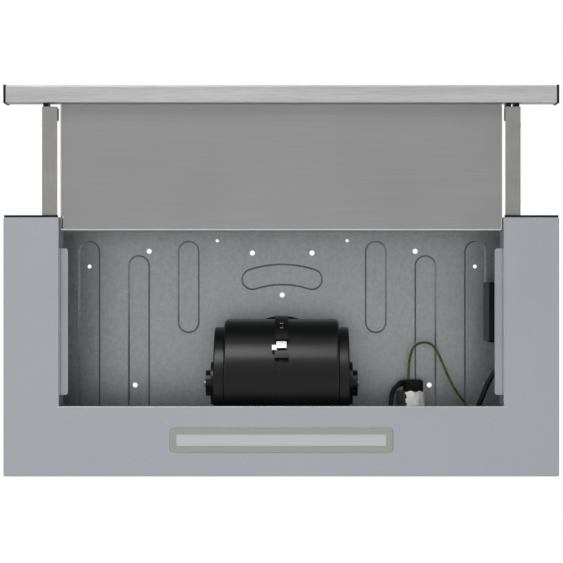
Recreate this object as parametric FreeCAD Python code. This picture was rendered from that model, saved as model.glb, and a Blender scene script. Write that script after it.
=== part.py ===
import FreeCAD, Part
import math
import os
from FreeCAD import Vector

# Telescopic cooker hood for a wall cabinet, with its visor pulled out and its grease filters taken out.
#
# Frame: X is the hood's width, -Y its front and +Z up.  The origin is the centre of the duct spigot, level
# with the top of the roof sheet.  Everything below is drawn with z = 0 at the painted underside, which is
# the easier face to measure from, and export() lowers the finished pieces by BODY_HEIGHT.

# ---- driving dimensions, in millimetres ----------------------------------------------------------
SHEET = 1.0                  # folded steel sheet
BEND = 0.8                   # inside radius of its folds
GAP = 0.3                    # between parts that only pass each other

BASE_WIDTH = 598.0           # painted base, for a 600 mm cabinet
BASE_FRONT = -170.4          # its front edge, measured from the spigot's axis
BASE_REAR = 108.7
SKIRT_HEIGHT = 22.0          # turned-up rim, which the cabinet's sides stand on
SEAT_WIDTH = 12.0            # flange on top of the rim
BASE_CORNER = 2.0
BASE_FOLD = 1.5              # outside radius between underside and rim
SEAL_THICKNESS = 2.1         # black strip on the front edge
SEAL_HEIGHT = 3.0            # where the runners pass over it
SEAL_LEVEL = 0.2             # above the underside

OPENING_INSET = 59.5         # filter opening, from the base's ends
OPENING_REAR = 33.4
OPENING_RIM = 46.0           # height of its turned-up sides, which carry the slides
OPENING_REAR_RIM = 12.0
LEDGE_WIDTH = 9.0            # what the filter rests against
LEDGE_HEIGHT = 10.0
LEDGE_FRONT = -136.9
LEDGE_REAR = 21.3
LEDGE_CORNER = 3.0

BODY_HEIGHT = 169.0          # underside to roof
BODY_INSET = 25.0            # galvanised sides, from the base's ends
BODY_FRONT = -168.0
BODY_REAR = 104.5
BODY_FLANGE = 10.0
SLOT_HEIGHT = 48.0           # under the front wall, where the visor passes
SIDE_HOLE_RADIUS = 2.5       # screws into the cabinet's sides
SIDE_HOLE_PITCH_Y = 200.0
SIDE_HOLE_Y = -30.0
SIDE_HOLE_LOWEST = 52.0
SIDE_HOLE_DROP = 21.0        # upper row, below the roof

EMBOSS_DEPTH = 4.0           # ribs pressed upwards out of the roof
EMBOSS_SLOPE = 2.0
RIB_WIDTH = 25.4
RIB_PITCH = 57.5
RIB_INNER_X = 108.4          # centre of the innermost pair
RIB_OUTER_FRONT = -148.5
RIB_MIDDLE_FRONT = -131.8
RIB_LONG_REAR = 88.0
RIB_SHORT_REAR = -41.2
ARCH_RADIUS = 109.2          # curved rib, drawn about the spigot's axis
ARCH_HALF_ANGLE = 18.4
ROOF_HOLES = [               # x, y, radius; each one off the centre line is a pair
    (0.0, -85.5, 2.9),
    (34.5, -134.1, 2.9),
    (75.2, -148.3, 1.8),
    (154.0, -136.1, 2.9),
    (170.5, 18.9, 2.8),
    (223.4, -118.5, 2.25),
]

SPIGOT_RADIUS = 59.5         # for a 120 mm duct
SPIGOT_WALL = 2.0
SPIGOT_HEIGHT = 40.0
SPIGOT_HOLE_CLEARANCE = 2.0  # taken up by a collar, which ends level with the roof
SPIGOT_FLANGE = 2.5
OUTLET_SCREW_RADIUS = 1.9
OUTLET_SCREW_HEAD = (3.6, 2.0)     # radius, height
OUTLET_BOSS_RADIUS = 5.0
OUTLET_BOSS_DEPTH = 14.0
FLAP_LEVEL = 14.0            # above the roof
FLAP_THICKNESS = 1.5
FLAP_CLEARANCE = 1.0
FLAP_RIB = (2.0, 8.0)        # half width, distance of its end from the rim
FLAP_HINGE_Y = 7.0
FLAP_KNUCKLE_RADIUS = 2.3
FLAP_PIN_RADIUS = 1.2
FLAP_BAR_HALF = 3.5
FLAP_LEDGE = (3.0, 2.0)      # width and height of the ring the flaps close on

FAN_Y = 12.7                 # fan axis, along X
FAN_DROP = 75.0              # axis below the roof sheet
SCROLL_HALF = 63.7           # half the width of the blower housing
SCROLL_WALL = 2.5
SCROLL_FRONT = 70.6          # fan axis to the housing's front wall
SCROLL_STEP = 5.0            # the scroll loses this much radius every quarter turn
SCROLL_EDGE_RADIUS = 3.0
TONGUE_ANGLE = 50.0
TONGUE_RADIUS = 12.0
OUTLET_FLARE = 25.0
SEAM_WIDTH = 2.0             # raised bead where the two halves meet, on each half
SEAM_HEIGHT = 1.0
FRONT_LUG = (7.3, 5.0)       # half width, height of the joint lug at the front
FRONT_LUG_ANGLES = (-70.0, 46.0)   # degrees below the fan axis, seen from it, as for the two below
CLIP_LUG = (4.5, 6.6)
CLIP_ANGLES = (50.0, 56.5)
CLIP_TAIL = (52.5, 57.6, 6.0)      # from, to, length
CLAMP_LUG = (7.3, 6.0)
CLAMP_ANGLES = (58.0, 65.0)
SCREW_GRIP = 12.0            # length of a housing screw in its boss
CLIP_SHEET = 0.8

COVER_RADIUS = 62.8          # inlet covers, on both ends of the housing
COVER_LENGTH = 11.0
COVER_SPIGOT_RADIUS = 56.8
THROAT_RADIUS = 46.0
COVER_RIM_RADIUS = 56.0
COVER_REACH = 6.0            # how far the mouth reaches into the housing
COVER_WEB = 4.0              # thickness of the spokes and the hub plate
COVER_LIP = 2.0
COVER_SHADOW_LINE = 1.3      # groove between cover and housing
COVER_ROUNDING = 2.0
CABLE_BOSS_RADIUS = 4.0
HUB_PLATE_RADIUS = 24.0
HUB_PLATE_END = 79.0         # from the middle of the fan
HUB_RADIUS = 14.5
HUB_END = 84.8
HUB_BORE_RADIUS = 11.0
RUBBER_INSET = 0.6
SPOKE_COUNT = 4
SPOKE_WIDTH = 8.0
GUARD_RADII = [32.0, 41.0]
GUARD_WIDTH = 2.2
AXLE_RADIUS = 4.0
AXLE_END = 86.5

IMPELLER_RADIUS = 52.0
IMPELLER_EYE = 42.0
IMPELLER_HALF = 50.0
IMPELLER_SHEET = 2.0         # middle disc, sleeve and rims
IMPELLER_SLEEVE = 9.0        # half its length, on the rotor can
BLADE_COUNT = 36
BLADE_THICKNESS = 0.9
BLADE_MIDDLE_RADIUS = 47.6
BLADE_MIDDLE_TURN = 1.6      # degrees ahead of the blade's root
BLADE_TIP_TURN = 8.0
ROTOR_RADIUS = 34.5
ROTOR_WALL = 1.5
ROTOR_HALF = 32.0
BEARING_RADIUS = 11.0
BEARING_WIDTH = 7.0
RUNNING_FIT = 0.05
STATOR_RADIUS = 31.5
STATOR_HALF = 14.0
COIL_RADIUS = 27.0
COIL_HALF = 23.0
COIL_BORE = 10.0

STRIP_FRONT = -312.4         # brushed front strip of the visor
STRIP_REAR = -293.8
STRIP_HEIGHT = 31.0
STRIP_SLIT = 5.0             # open slit at the top of its rear face
CAP_THICKNESS = 2.5
CAP_PROUD = 0.6
CAP_PLUG = 8.0
VISOR_SIDE_GAP = 1.3         # to the opening's sides
VISOR_REAR = -156.4
VISOR_LEVEL = 12.0
VISOR_RIM = 14.0
VISOR_FOLD = 2.0
DRIP_SLOT = (3.0, 1.0, 14.0)       # from and to, inside the panel's edge, and length
STROKE_GAP = 0.3             # left between end caps and seals when the visor is closed

RUNNER_GAP = 2.0             # to the filter opening
RUNNER_WIDTH = 16.5
RUNNER_BOTTOM = 4.0
RUNNER_TOP = 34.0
RUNNER_LIP = 8.0
RUNNER_FRONT = -289.6
RUNNER_REAR = -40.0
RUNNER_SIDE_GAP = 2.6        # beside the rivet heads, where the runners pass the base's front edge
COUPLER_INSET = 1.5          # of the plugs in the runners' front ends
COUPLER_FOOT = 5.2
SLIDE_SHEET = 1.2
SLIDE_BEND = 0.4
SLIDE_DEPTH = 11.0
SLIDE_LIP = 2.4
FIXED_SLIDE_HEIGHT = 24.0
FIXED_SLIDE_LENGTH = 236.0
MOVING_SLIDE_HEIGHT = 15.0
MOVING_SLIDE_FRONT = -276.0
BALL_RADIUS = 1.5
BALL_PITCH = 40.0
BALLS_PER_ROW = 3
CAGE_SHEET = 0.5
CAGE_WEB_GAP = 2.5           # beside the heads of the slide screws
CAGE_EDGE = 1.1              # outside the balls
CAGE_FRONT = -150.0
CAGE_LENGTH = 100.0
RIVETS = [                   # y, head radius of the rivets through runner and slide
    (-270.6, 4.0),
    (-188.4, 2.7),
    (-60.0, 2.7),
]
RIVET_SHANK = 2.0
RIVET_HEAD = 1.4             # height of the head
RIVET_TAIL = (3.0, 1.0)      # radius, height
SLIDE_SCREW_Y = [-120.0, -20.0]
SLIDE_SCREW_RADIUS = 1.8
SLIDE_SCREW_HEAD = (3.6, 1.4)      # radius, height

BUTTON_COUNT = 4
BUTTON_PITCH = 19.0
BUTTON_INSET = 96.5          # middle of the row, from the strip's end
BUTTON_WIDTH = 13.6
BUTTON_HEIGHT = 7.6
BUTTON_TRAVEL = 2.0          # less than BUTTON_PROUD, so a pressed button still stands out
BUTTON_PROUD = 3.0
BUTTON_CLEARANCE = 0.2
BUTTON_FLANGE = 0.8
BUTTON_CORNER = 1.2
CONSOLE_MARGIN = 6.0         # round the row of buttons
CONSOLE_PLATE = 1.6
CONSOLE_DEPTH = 13.0
CONSOLE_CORNER = 3.0

LAMP_Y = 69.6
LAMP_HALF_X = 120.5
LAMP_HALF_Y = 13.4
LAMP_CORNER = 4.8
LAMP_PROUD = 1.2
LAMP_NECK = (116.0, 9.5)     # half sizes of the neck through the base
LAMP_NECK_WALL = 1.2
LAMP_NECK_HEIGHT = 6.0
LAMP_CLEARANCE = 0.15
DIFFUSER_HALF = (112.9, 6.35)
DIFFUSER_FLANGE = 1.6
LAMP_TRAY_TOP = 12.0
LED_COUNT = 12
LED_BOARD = (1.6, 5.0, 4.0)  # thickness, half width, distance from the lens's ends
LED_CHIP = (3.0, 0.8)        # side, height
LAMP_CHAMFER = 0.7

CONTROL_FRONT = -100.5       # control box on the right wall
CONTROL_REAR = -33.8
CONTROL_BOTTOM = 60.0
CONTROL_TOP = 124.0
CONTROL_DEPTH = 44.0
CONTROL_BASE_DEPTH = 12.0
CONTROL_CORNER = 3.0
CONTROL_WALL = 1.8
BOARD_THICKNESS = 1.6
BOARD_BLOCKS = [             # y, z from the box's lower front corner, sizes in y and z, height: relay, choke
    (12.0, 12.0, 19.0, 16.0, 15.0),
    (36.0, 32.0, 20.0, 22.0, 18.0),
]

CAPACITOR_X = 146.7
CAPACITOR_DROP = 18.0        # axis below the roof sheet
CAPACITOR_RADIUS = 15.5
CAPACITOR_FRONT = 24.5
CAPACITOR_LENGTH = 46.0
CAPACITOR_ROUNDING = 1.5
BOOT_X = 150.3
BOOT_WIDTH = 22.4
BOOT_FRONT = 11.6
BOOT_HEIGHT = 23.0
BOOT_CORNER = 4.0
BOOT_ROUNDING = 2.5
BOOT_NOSE = (3.2, 9.0)       # radius and length of the nose that the motor lead leaves from
WRAP_THICKNESS = 0.8
WRAP_ANGLES = (-115.0, 60.0)       # from +X, negative towards the camera side
SADDLE_WIDTH = 10.0
SADDLE_FOOT = 46.0
SADDLE_STEM = 8.0
SADDLE_SHEET = 1.2
SADDLE_GAP = 2.0             # to the sleeve in front of it, and to the can's end

EARTH_DIAMETER = 2.8
EARTH_POINTS = [             # x, y and depth below the roof sheet, as for the next list
    (145.0, 11.6, 22.0), (145.0, -12.0, 22.0), (152.5, -30.8, 25.0), (172.5, -31.8, 28.0),
    (183.5, -8.0, 30.0), (194.0, 17.5, 31.0), (211.0, 41.0, 33.0), (226.0, 67.0, 34.0),
    (226.0, 98.5, 34.0),
]
LEAD_DIAMETER = 5.0
LEAD_POINTS = [
    (134.0, 17.5, 20.0), (121.5, 26.9, 20.0), (119.0, 45.5, 28.0), (108.0, 61.1, 42.3),
    (80.0, 61.1, 42.3),
]
MAINS_DIAMETER = 6.0
MAINS_POINTS = [             # distance from the right wall, y, z
    (23.0, -33.8, 78.0), (24.0, -14.0, 75.0), (42.0, 6.0, 72.0), (55.0, 40.0, 74.0),
    (69.0, 64.0, 86.0), (77.0, 83.0, 100.0), (77.0, 99.5, 100.0),
]
GLAND_RADIUS = 7.0
GLAND_NUT_RADIUS = 10.0
GLAND_FLANGE = 2.5
EARTH_STUD_RADIUS = 2.0
EARTH_WASHER = (4.4, 0.8)    # radius, height
EARTH_HEAD = (3.6, 2.0)
EARTH_FERRULE_RADIUS = 1.8

# ---- sizes that follow from the ones above -------------------------------------------------------
HALF_WIDTH = BASE_WIDTH / 2
BODY_HALF = HALF_WIDTH - BODY_INSET
WALL_HALF = BODY_HALF - SHEET
ROOF_UNDER = BODY_HEIGHT - SHEET
SIDE_HOLE_PITCH_Z = BODY_HEIGHT - SIDE_HOLE_DROP - SIDE_HOLE_LOWEST
SIDE_HOLE_Z = SIDE_HOLE_LOWEST + SIDE_HOLE_PITCH_Z / 2
FAN_Z = ROOF_UNDER - FAN_DROP
CAPACITOR_Z = ROOF_UNDER - CAPACITOR_DROP
EARTH_ROUTE = [(x, y, ROOF_UNDER - depth) for x, y, depth in EARTH_POINTS]
LEAD_ROUTE = [(x, y, ROOF_UNDER - depth) for x, y, depth in LEAD_POINTS]
MAINS_ROUTE = [(WALL_HALF - inset, y, z) for inset, y, z in MAINS_POINTS]
OPENING_HALF = HALF_WIDTH - OPENING_INSET
VISOR_HALF = OPENING_HALF - VISOR_SIDE_GAP
RUNNER_INNER = OPENING_HALF + RUNNER_GAP
RUNNER_OUTER = RUNNER_INNER + RUNNER_WIDTH
STRIP_HALF = HALF_WIDTH - CAP_THICKNESS
BUTTON_X = STRIP_HALF - BUTTON_INSET
RIM_OUTER = OPENING_HALF + SHEET
SEAL_FRONT = BASE_FRONT - SEAL_THICKNESS
RUNNER_SLOT_OUTER = RUNNER_OUTER + RIVET_HEAD + RUNNER_SIDE_GAP
SLIDE_MID_Z = (RUNNER_BOTTOM + RUNNER_TOP) / 2
MOVING_SLIDE_REAR = RUNNER_REAR
VISOR_STROKE = SEAL_FRONT - STROKE_GAP - (STRIP_REAR + CAP_PROUD)
FIXED_SLIDE_FRONT = MOVING_SLIDE_FRONT + VISOR_STROKE + SHEET
FIXED_SLIDE_REAR = FIXED_SLIDE_FRONT + FIXED_SLIDE_LENGTH
FLAP_Z = BODY_HEIGHT + FLAP_LEVEL
HINGE_Z = FLAP_Z + FLAP_KNUCKLE_RADIUS + GAP
SPIGOT_BORE = SPIGOT_RADIUS - SPIGOT_WALL
NECK_TOP = ROOF_UNDER - SPIGOT_FLANGE
SADDLE_FRONT = CAPACITOR_FRONT + CAPACITOR_LENGTH - SADDLE_GAP - SADDLE_WIDTH
CONSOLE_Z = STRIP_HEIGHT / 2
CONSOLE_HALF_X = (BUTTON_COUNT - 1) * BUTTON_PITCH / 2 + BUTTON_WIDTH / 2 + CONSOLE_MARGIN
CONSOLE_HALF_Z = BUTTON_HEIGHT / 2 + CONSOLE_MARGIN / 2


# ---- drawing helpers -----------------------------------------------------------------------------
def box(x0, x1, y0, y1, z0, z1):
    return Part.makeBox(x1 - x0, y1 - y0, z1 - z0, Vector(x0, y0, z0))


def rod(radius, start, end):
    """Cylinder between two points."""
    axis = Vector(*end) - Vector(*start)
    return Part.makeCylinder(radius, axis.Length, Vector(*start), axis)


def mirrored(shape):
    """The left-hand twin of a right-hand piece."""
    return shape.mirror(Vector(0, 0, 0), Vector(1, 0, 0))


def at_xy(z):
    return lambda u, v: Vector(u, v, z)


def at_xz(y):
    return lambda u, v: Vector(u, y, v)


def at_yz(x):
    return lambda u, v: Vector(x, u, v)


def wire(segments, place):
    """Closed wire from lines (two points) and arcs (three points), laid in a plane by `place`."""
    edges = []
    for segment in segments:
        points = [place(*point) for point in segment]
        if len(points) == 2:
            edges.append(Part.LineSegment(*points).toShape())
        else:
            edges.append(Part.Arc(*points).toShape())
    return Part.Wire(edges)


def prism(segments, place, vector):
    return Part.Face(wire(segments, place)).extrude(Vector(*vector))


def polar(u, v, radius, degrees):
    angle = math.radians(degrees)
    return (u + radius * math.cos(angle), v + radius * math.sin(angle))


def arc(u, v, radius, start, end):
    """Arc segment about (u, v), in degrees."""
    return tuple(polar(u, v, radius, angle) for angle in (start, (start + end) / 2, end))


def rounded_rect(u0, u1, v0, v1, radius):
    corners = [(u1 - radius, v0 + radius, -90), (u1 - radius, v1 - radius, 0),
               (u0 + radius, v1 - radius, 90), (u0 + radius, v0 + radius, 180)]
    arcs = [arc(u, v, radius, start, start + 90) for u, v, start in corners]
    segments = []
    for index, corner in enumerate(arcs):
        following = arcs[(index + 1) % len(arcs)]
        segments.append(corner)
        if math.dist(corner[-1], following[0]) > 1e-6:
            segments.append((corner[-1], following[0]))
    return segments


def rounded_prism(x0, x1, y0, y1, z0, z1, radius):
    return prism(rounded_rect(x0, x1, y0, y1, radius), at_xy(z0), (0, 0, z1 - z0))


def bent_sheet(path, thickness, bend):
    """Outline of a folded sheet whose middle line has its corners at `path`."""
    half = thickness / 2
    middle = bend + half
    sides = {1: [], -1: []}
    unit = []
    for start, end in zip(path, path[1:]):
        length = math.dist(start, end)
        unit.append(((end[0] - start[0]) / length, (end[1] - start[1]) / length))

    def offset(point, direction, side):
        return (point[0] - side * half * direction[1], point[1] + side * half * direction[0])

    last = {side: offset(path[0], unit[0], side) for side in sides}
    for corner, before, after in zip(path[1:-1], unit, unit[1:]):
        turn = math.atan2(before[0] * after[1] - before[1] * after[0],
                          before[0] * after[0] + before[1] * after[1])
        reach = middle * math.tan(abs(turn) / 2)
        entry = (corner[0] - before[0] * reach, corner[1] - before[1] * reach)
        leave = (corner[0] + after[0] * reach, corner[1] + after[1] * reach)
        hand = math.copysign(1, turn)
        centre = (entry[0] - hand * middle * before[1], entry[1] + hand * middle * before[0])
        away = math.dist(centre, corner)
        for side in sides:
            radius = middle - side * hand * half
            crown = (centre[0] + (corner[0] - centre[0]) / away * radius,
                     centre[1] + (corner[1] - centre[1]) / away * radius)
            first = offset(entry, before, side)
            second = offset(leave, after, side)
            sides[side].append((last[side], first))
            sides[side].append((first, crown, second))
            last[side] = second
    for side in sides:
        sides[side].append((last[side], offset(path[-1], unit[-1], side)))
    back = [tuple(reversed(segment)) for segment in reversed(sides[-1])]
    closing = [(sides[1][-1][-1], back[0][0])]
    opening = [(back[-1][-1], sides[1][0][0])]
    return sides[1] + closing + back + opening


def fold_along_y(path, y0, y1, thickness=SHEET, bend=BEND):
    return prism(bent_sheet(path, thickness, bend), at_xz(y0), (0, y1 - y0, 0))


def fold_along_x(path, x0, x1, thickness=SHEET, bend=BEND):
    return prism(bent_sheet(path, thickness, bend), at_yz(x0), (x1 - x0, 0, 0))


def edges_at_level(shape, z):
    return [edge for edge in shape.Edges
            if abs(edge.BoundBox.ZMin - z) < 1e-4 and abs(edge.BoundBox.ZMax - z) < 1e-4]


def pan(x0, x1, y0, y1, z0, z1, corner, fold):
    """Open-topped tray of sheet with rounded folds round its floor."""
    outer = rounded_prism(x0, x1, y0, y1, z0, z1, corner)
    outer = outer.makeFillet(fold, edges_at_level(outer, z0))
    inner = rounded_prism(x0 + SHEET, x1 - SHEET, y0 + SHEET, y1 - SHEET, z0 + SHEET, z1 + SHEET,
                          max(corner - SHEET, SHEET / 2))
    inner = inner.makeFillet(max(fold - SHEET, SHEET / 2), edges_at_level(inner, z0 + SHEET))
    return outer.cut(inner)


def cord(name, route, diameter):
    """Round tube along straight runs joined by arcs as large as the runs allow."""
    points = [Vector(*point) for point in route]
    edges = []
    radii = []
    start = points[0]
    for before, corner, after in zip(points, points[1:], points[2:]):
        inward = (corner - before).normalize()
        outward = (after - corner).normalize()
        reach = 0.45 * min((corner - before).Length, (after - corner).Length)
        turn = inward.getAngle(outward)
        radius = reach / math.tan(turn / 2)
        entry = corner - inward * reach
        leave = corner + outward * reach
        middle = (entry + leave) * 0.5
        crown = middle + (corner - middle).normalize() * radius * (1 - math.cos(turn / 2))
        edges.append(Part.LineSegment(start, entry).toShape())
        edges.append(Part.Arc(entry, crown, leave).toShape())
        radii.append(radius)
        start = leave
    edges.append(Part.LineSegment(start, points[-1]).toShape())
    path = Part.Wire(edges)
    section = Part.Wire([Part.Circle(points[0], points[1] - points[0], diameter / 2).toShape()])
    tube = path.makePipeShell([section], True, False)
    expected = math.pi * diameter ** 2 / 4 * path.Length
    print(name, "radii", [round(radius, 1) for radius in radii],
          "volume / section x length", round(tube.Volume / expected, 4))
    return tube


def export(node, *shapes):
    solids = [solid for shape in shapes for solid in shape.Solids]
    piece = solids[0] if len(solids) == 1 else Part.makeCompound(solids)
    piece.translated(Vector(0, 0, -BODY_HEIGHT)).exportStep("parts/" + node + ".step")


# ---- painted base --------------------------------------------------------------------------------
def base_panel():
    """U-shaped tray: rim on three sides, filter opening with turned-up edges, seat flanges on the rim."""
    tray = pan(-HALF_WIDTH, HALF_WIDTH, BASE_FRONT, BASE_REAR, 0, SKIRT_HEIGHT, BASE_CORNER, BASE_FOLD)
    sides = box(-RIM_OUTER, RIM_OUTER, BASE_FRONT, OPENING_REAR + SHEET, 0, OPENING_RIM)
    tray = tray.cut(sides)
    sides = sides.cut(box(-RIM_OUTER + SHEET, RIM_OUTER - SHEET, BASE_FRONT - SHEET, OPENING_REAR,
                          -SHEET, OPENING_RIM + SHEET))
    low_rear = box(-RIM_OUTER - SHEET, RIM_OUTER + SHEET, OPENING_REAR, OPENING_REAR + 2 * SHEET,
                   OPENING_REAR_RIM, OPENING_RIM + SHEET)
    tray = tray.fuse(sides.cut(low_rear)).removeSplitter()
    opening_edges = [edge for edge in edges_at_level(tray, 0)
                     if abs(edge.BoundBox.XMax) < RIM_OUTER and abs(edge.BoundBox.XMin) < RIM_OUTER
                     and edge.BoundBox.YMax < OPENING_REAR + SHEET
                     and edge.BoundBox.DiagonalLength > OPENING_RIM]
    tray = tray.makeFillet(0.8 * SHEET, opening_edges)
    for side in (-1, 1):
        inner, outer = sorted([side * (HALF_WIDTH - SEAT_WIDTH), side * (HALF_WIDTH - SHEET / 2)])
        seat = box(inner, outer, BASE_FRONT + SHEET / 2, BASE_REAR - SHEET / 2,
                   SKIRT_HEIGHT - SHEET, SKIRT_HEIGHT)
        tray = tray.fuse(seat)
        inner, outer = sorted([side * RIM_OUTER, side * RUNNER_SLOT_OUTER])
        tray = tray.cut(box(inner, outer, BASE_FRONT - SHEET, BASE_FRONT + 2 * SHEET,
                            SEAL_HEIGHT, OPENING_RIM))
    half_x, half_y = LAMP_NECK
    tray = tray.cut(lamp_prism(half_x + LAMP_CLEARANCE, half_y + LAMP_CLEARANCE,
                               -SHEET, 2 * SHEET, LAMP_CORNER / 2))
    for screw in slide_screws():
        tray = tray.cut([screw, mirrored(screw)])
    return tray.removeSplitter()


def filter_ledge():
    """Angle strip inside the opening that the grease filter is pushed up against."""
    middle = SHEET / 2
    path = [(OPENING_HALF - middle, SEAL_HEIGHT), (OPENING_HALF - middle, LEDGE_HEIGHT - middle),
            (OPENING_HALF - LEDGE_WIDTH, LEDGE_HEIGHT - middle)]
    ledge = fold_along_y(path, LEDGE_FRONT, LEDGE_REAR)
    corners = [edge for edge in ledge.Edges
               if edge.BoundBox.XMax < OPENING_HALF - LEDGE_WIDTH + 1e-4 and edge.BoundBox.ZLength > middle]
    return ledge.makeFillet(LEDGE_CORNER, corners)


def edge_seal():
    """Black strip on the front edge of one arm of the base, cut low where the runner passes over it."""
    low = box(OPENING_HALF + BEND, HALF_WIDTH - BEND, SEAL_FRONT, BASE_FRONT,
              SEAL_LEVEL, SEAL_HEIGHT - 2 * SEAL_LEVEL)
    high = box(RUNNER_SLOT_OUTER, HALF_WIDTH - BEND, SEAL_FRONT, BASE_FRONT, SEAL_LEVEL, SKIRT_HEIGHT - SHEET)
    return low.fuse(high).removeSplitter()


# ---- galvanised body -----------------------------------------------------------------------------
def side_panel():
    middle = SHEET / 2
    path = [(BODY_HALF + BODY_FLANGE, SHEET + middle), (BODY_HALF - middle, SHEET + middle),
            (BODY_HALF - middle, ROOF_UNDER - middle), (BODY_HALF - BODY_FLANGE, ROOF_UNDER - middle)]
    panel = fold_along_y(path, BODY_FRONT, BODY_REAR)
    for y in (SIDE_HOLE_Y - SIDE_HOLE_PITCH_Y / 2, SIDE_HOLE_Y + SIDE_HOLE_PITCH_Y / 2):
        for z in (SIDE_HOLE_Z - SIDE_HOLE_PITCH_Z / 2, SIDE_HOLE_Z + SIDE_HOLE_PITCH_Z / 2):
            panel = panel.cut(rod(SIDE_HOLE_RADIUS, (WALL_HALF - SHEET, y, z), (BODY_HALF + SHEET, y, z)))
    return panel


def cross_panel(y_face, inward, z_bottom):
    """Front or rear wall between the sides, with flanges turned inwards at top and bottom."""
    middle = SHEET / 2
    y_web = y_face + inward * middle
    y_lip = y_face + inward * BODY_FLANGE
    path = [(y_lip, z_bottom + middle), (y_web, z_bottom + middle),
            (y_web, ROOF_UNDER - middle), (y_lip, ROOF_UNDER - middle)]
    flange_half = BODY_HALF - BODY_FLANGE - GAP
    folded = fold_along_x(path, -flange_half, flange_half)
    low, high = sorted([y_face, y_face + inward * SHEET])
    web = box(-WALL_HALF, WALL_HALF, low, high, z_bottom + SHEET + BEND, ROOF_UNDER - SHEET - BEND)
    return folded.fuse(web).removeSplitter()


def rear_panel():
    panel = cross_panel(BODY_REAR, -1, SHEET)
    gx, gy, gz = MAINS_ROUTE[-1]
    panel = panel.cut(rod(GLAND_RADIUS, (gx, BODY_REAR - 2 * SHEET, gz), (gx, BODY_REAR + SHEET, gz)))
    ex, ey, ez = EARTH_ROUTE[-1]
    return panel.cut(rod(EARTH_STUD_RADIUS, (ex, BODY_REAR - 2 * SHEET, ez), (ex, BODY_REAR + SHEET, ez)))


def rib_outline(x, y0, y1, width):
    radius = width / 2
    return [arc(x, y1 - radius, radius, 0, 180), ((x - radius, y1 - radius), (x - radius, y0 + radius)),
            arc(x, y0 + radius, radius, 180, 360), ((x + radius, y0 + radius), (x + radius, y1 - radius))]


def arch_outline(width):
    half = width / 2
    start = 270 - ARCH_HALF_ANGLE
    end = 270 + ARCH_HALF_ANGLE
    tip_a = polar(0, 0, ARCH_RADIUS, start)
    tip_b = polar(0, 0, ARCH_RADIUS, end)
    return [arc(0, 0, ARCH_RADIUS + half, start, end), arc(*tip_b, half, end, end + 180),
            arc(0, 0, ARCH_RADIUS - half, end, start), arc(*tip_a, half, start + 180, start + 360)]


def embossing(outline_of, z0, z1, width0, width1):
    """Solid with sloping sides between two widths of the same outline."""
    wires = [wire(outline_of(width0), at_xy(z0)), wire(outline_of(width1), at_xy(z1))]
    return Part.makeLoft(wires, True, True)


def roof_plate():
    """Roof with ribs and an arched rib pressed upwards, the spigot's hole and the fixing holes."""
    roof = box(-BODY_HALF, BODY_HALF, BODY_FRONT, BODY_REAR, ROOF_UNDER, BODY_HEIGHT)
    outlines = [arch_outline]
    for side in (-1, 1):
        for index, (front, rear) in enumerate([(RIB_OUTER_FRONT, RIB_SHORT_REAR),
                                               (RIB_MIDDLE_FRONT, RIB_LONG_REAR),
                                               (RIB_OUTER_FRONT, RIB_LONG_REAR)]):
            x = side * (RIB_INNER_X + index * RIB_PITCH)
            outlines.append(lambda width, x=x, front=front, rear=rear: rib_outline(
                x, front + (RIB_WIDTH - width) / 2, rear - (RIB_WIDTH - width) / 2, width))
    narrow = RIB_WIDTH - 2 * EMBOSS_SLOPE
    for outline in outlines:
        roof = roof.fuse(embossing(outline, BODY_HEIGHT - SHEET / 2, BODY_HEIGHT + EMBOSS_DEPTH,
                                   RIB_WIDTH + 2 * SHEET, narrow + 2 * SHEET))
    for outline in outlines:
        roof = roof.cut(embossing(outline, ROOF_UNDER, ROOF_UNDER + EMBOSS_DEPTH, RIB_WIDTH, narrow))
    below, above = ROOF_UNDER - SHEET, BODY_HEIGHT + 2 * EMBOSS_DEPTH
    roof = roof.cut(rod(SPIGOT_RADIUS + SPIGOT_HOLE_CLEARANCE, (0, 0, below), (0, 0, above)))
    for x, y, radius in ROOF_HOLES:
        for side in ((1,) if x == 0 else (-1, 1)):
            roof = roof.cut(rod(radius, (side * x, y, below), (side * x, y, above)))
    for x, y in outlet_screw_places():
        roof = roof.cut(rod(OUTLET_SCREW_RADIUS, (x, y, below), (x, y, above)))
    return roof


# ---- outlet spigot and non-return flaps ----------------------------------------------------------
def outlet_screw_places():
    """Screws in the corners of the blower's neck, outside the spigot."""
    x = SCROLL_HALF - SCROLL_WALL - OUTLET_BOSS_RADIUS
    front = FAN_Y - SCROLL_FRONT + SCROLL_WALL + OUTLET_BOSS_RADIUS
    rear = neck_rear(NECK_TOP - OUTLET_BOSS_DEPTH) - SCROLL_WALL - OUTLET_BOSS_RADIUS
    return [(side * x, y) for side in (-1, 1) for y in (front, rear)]


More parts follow.
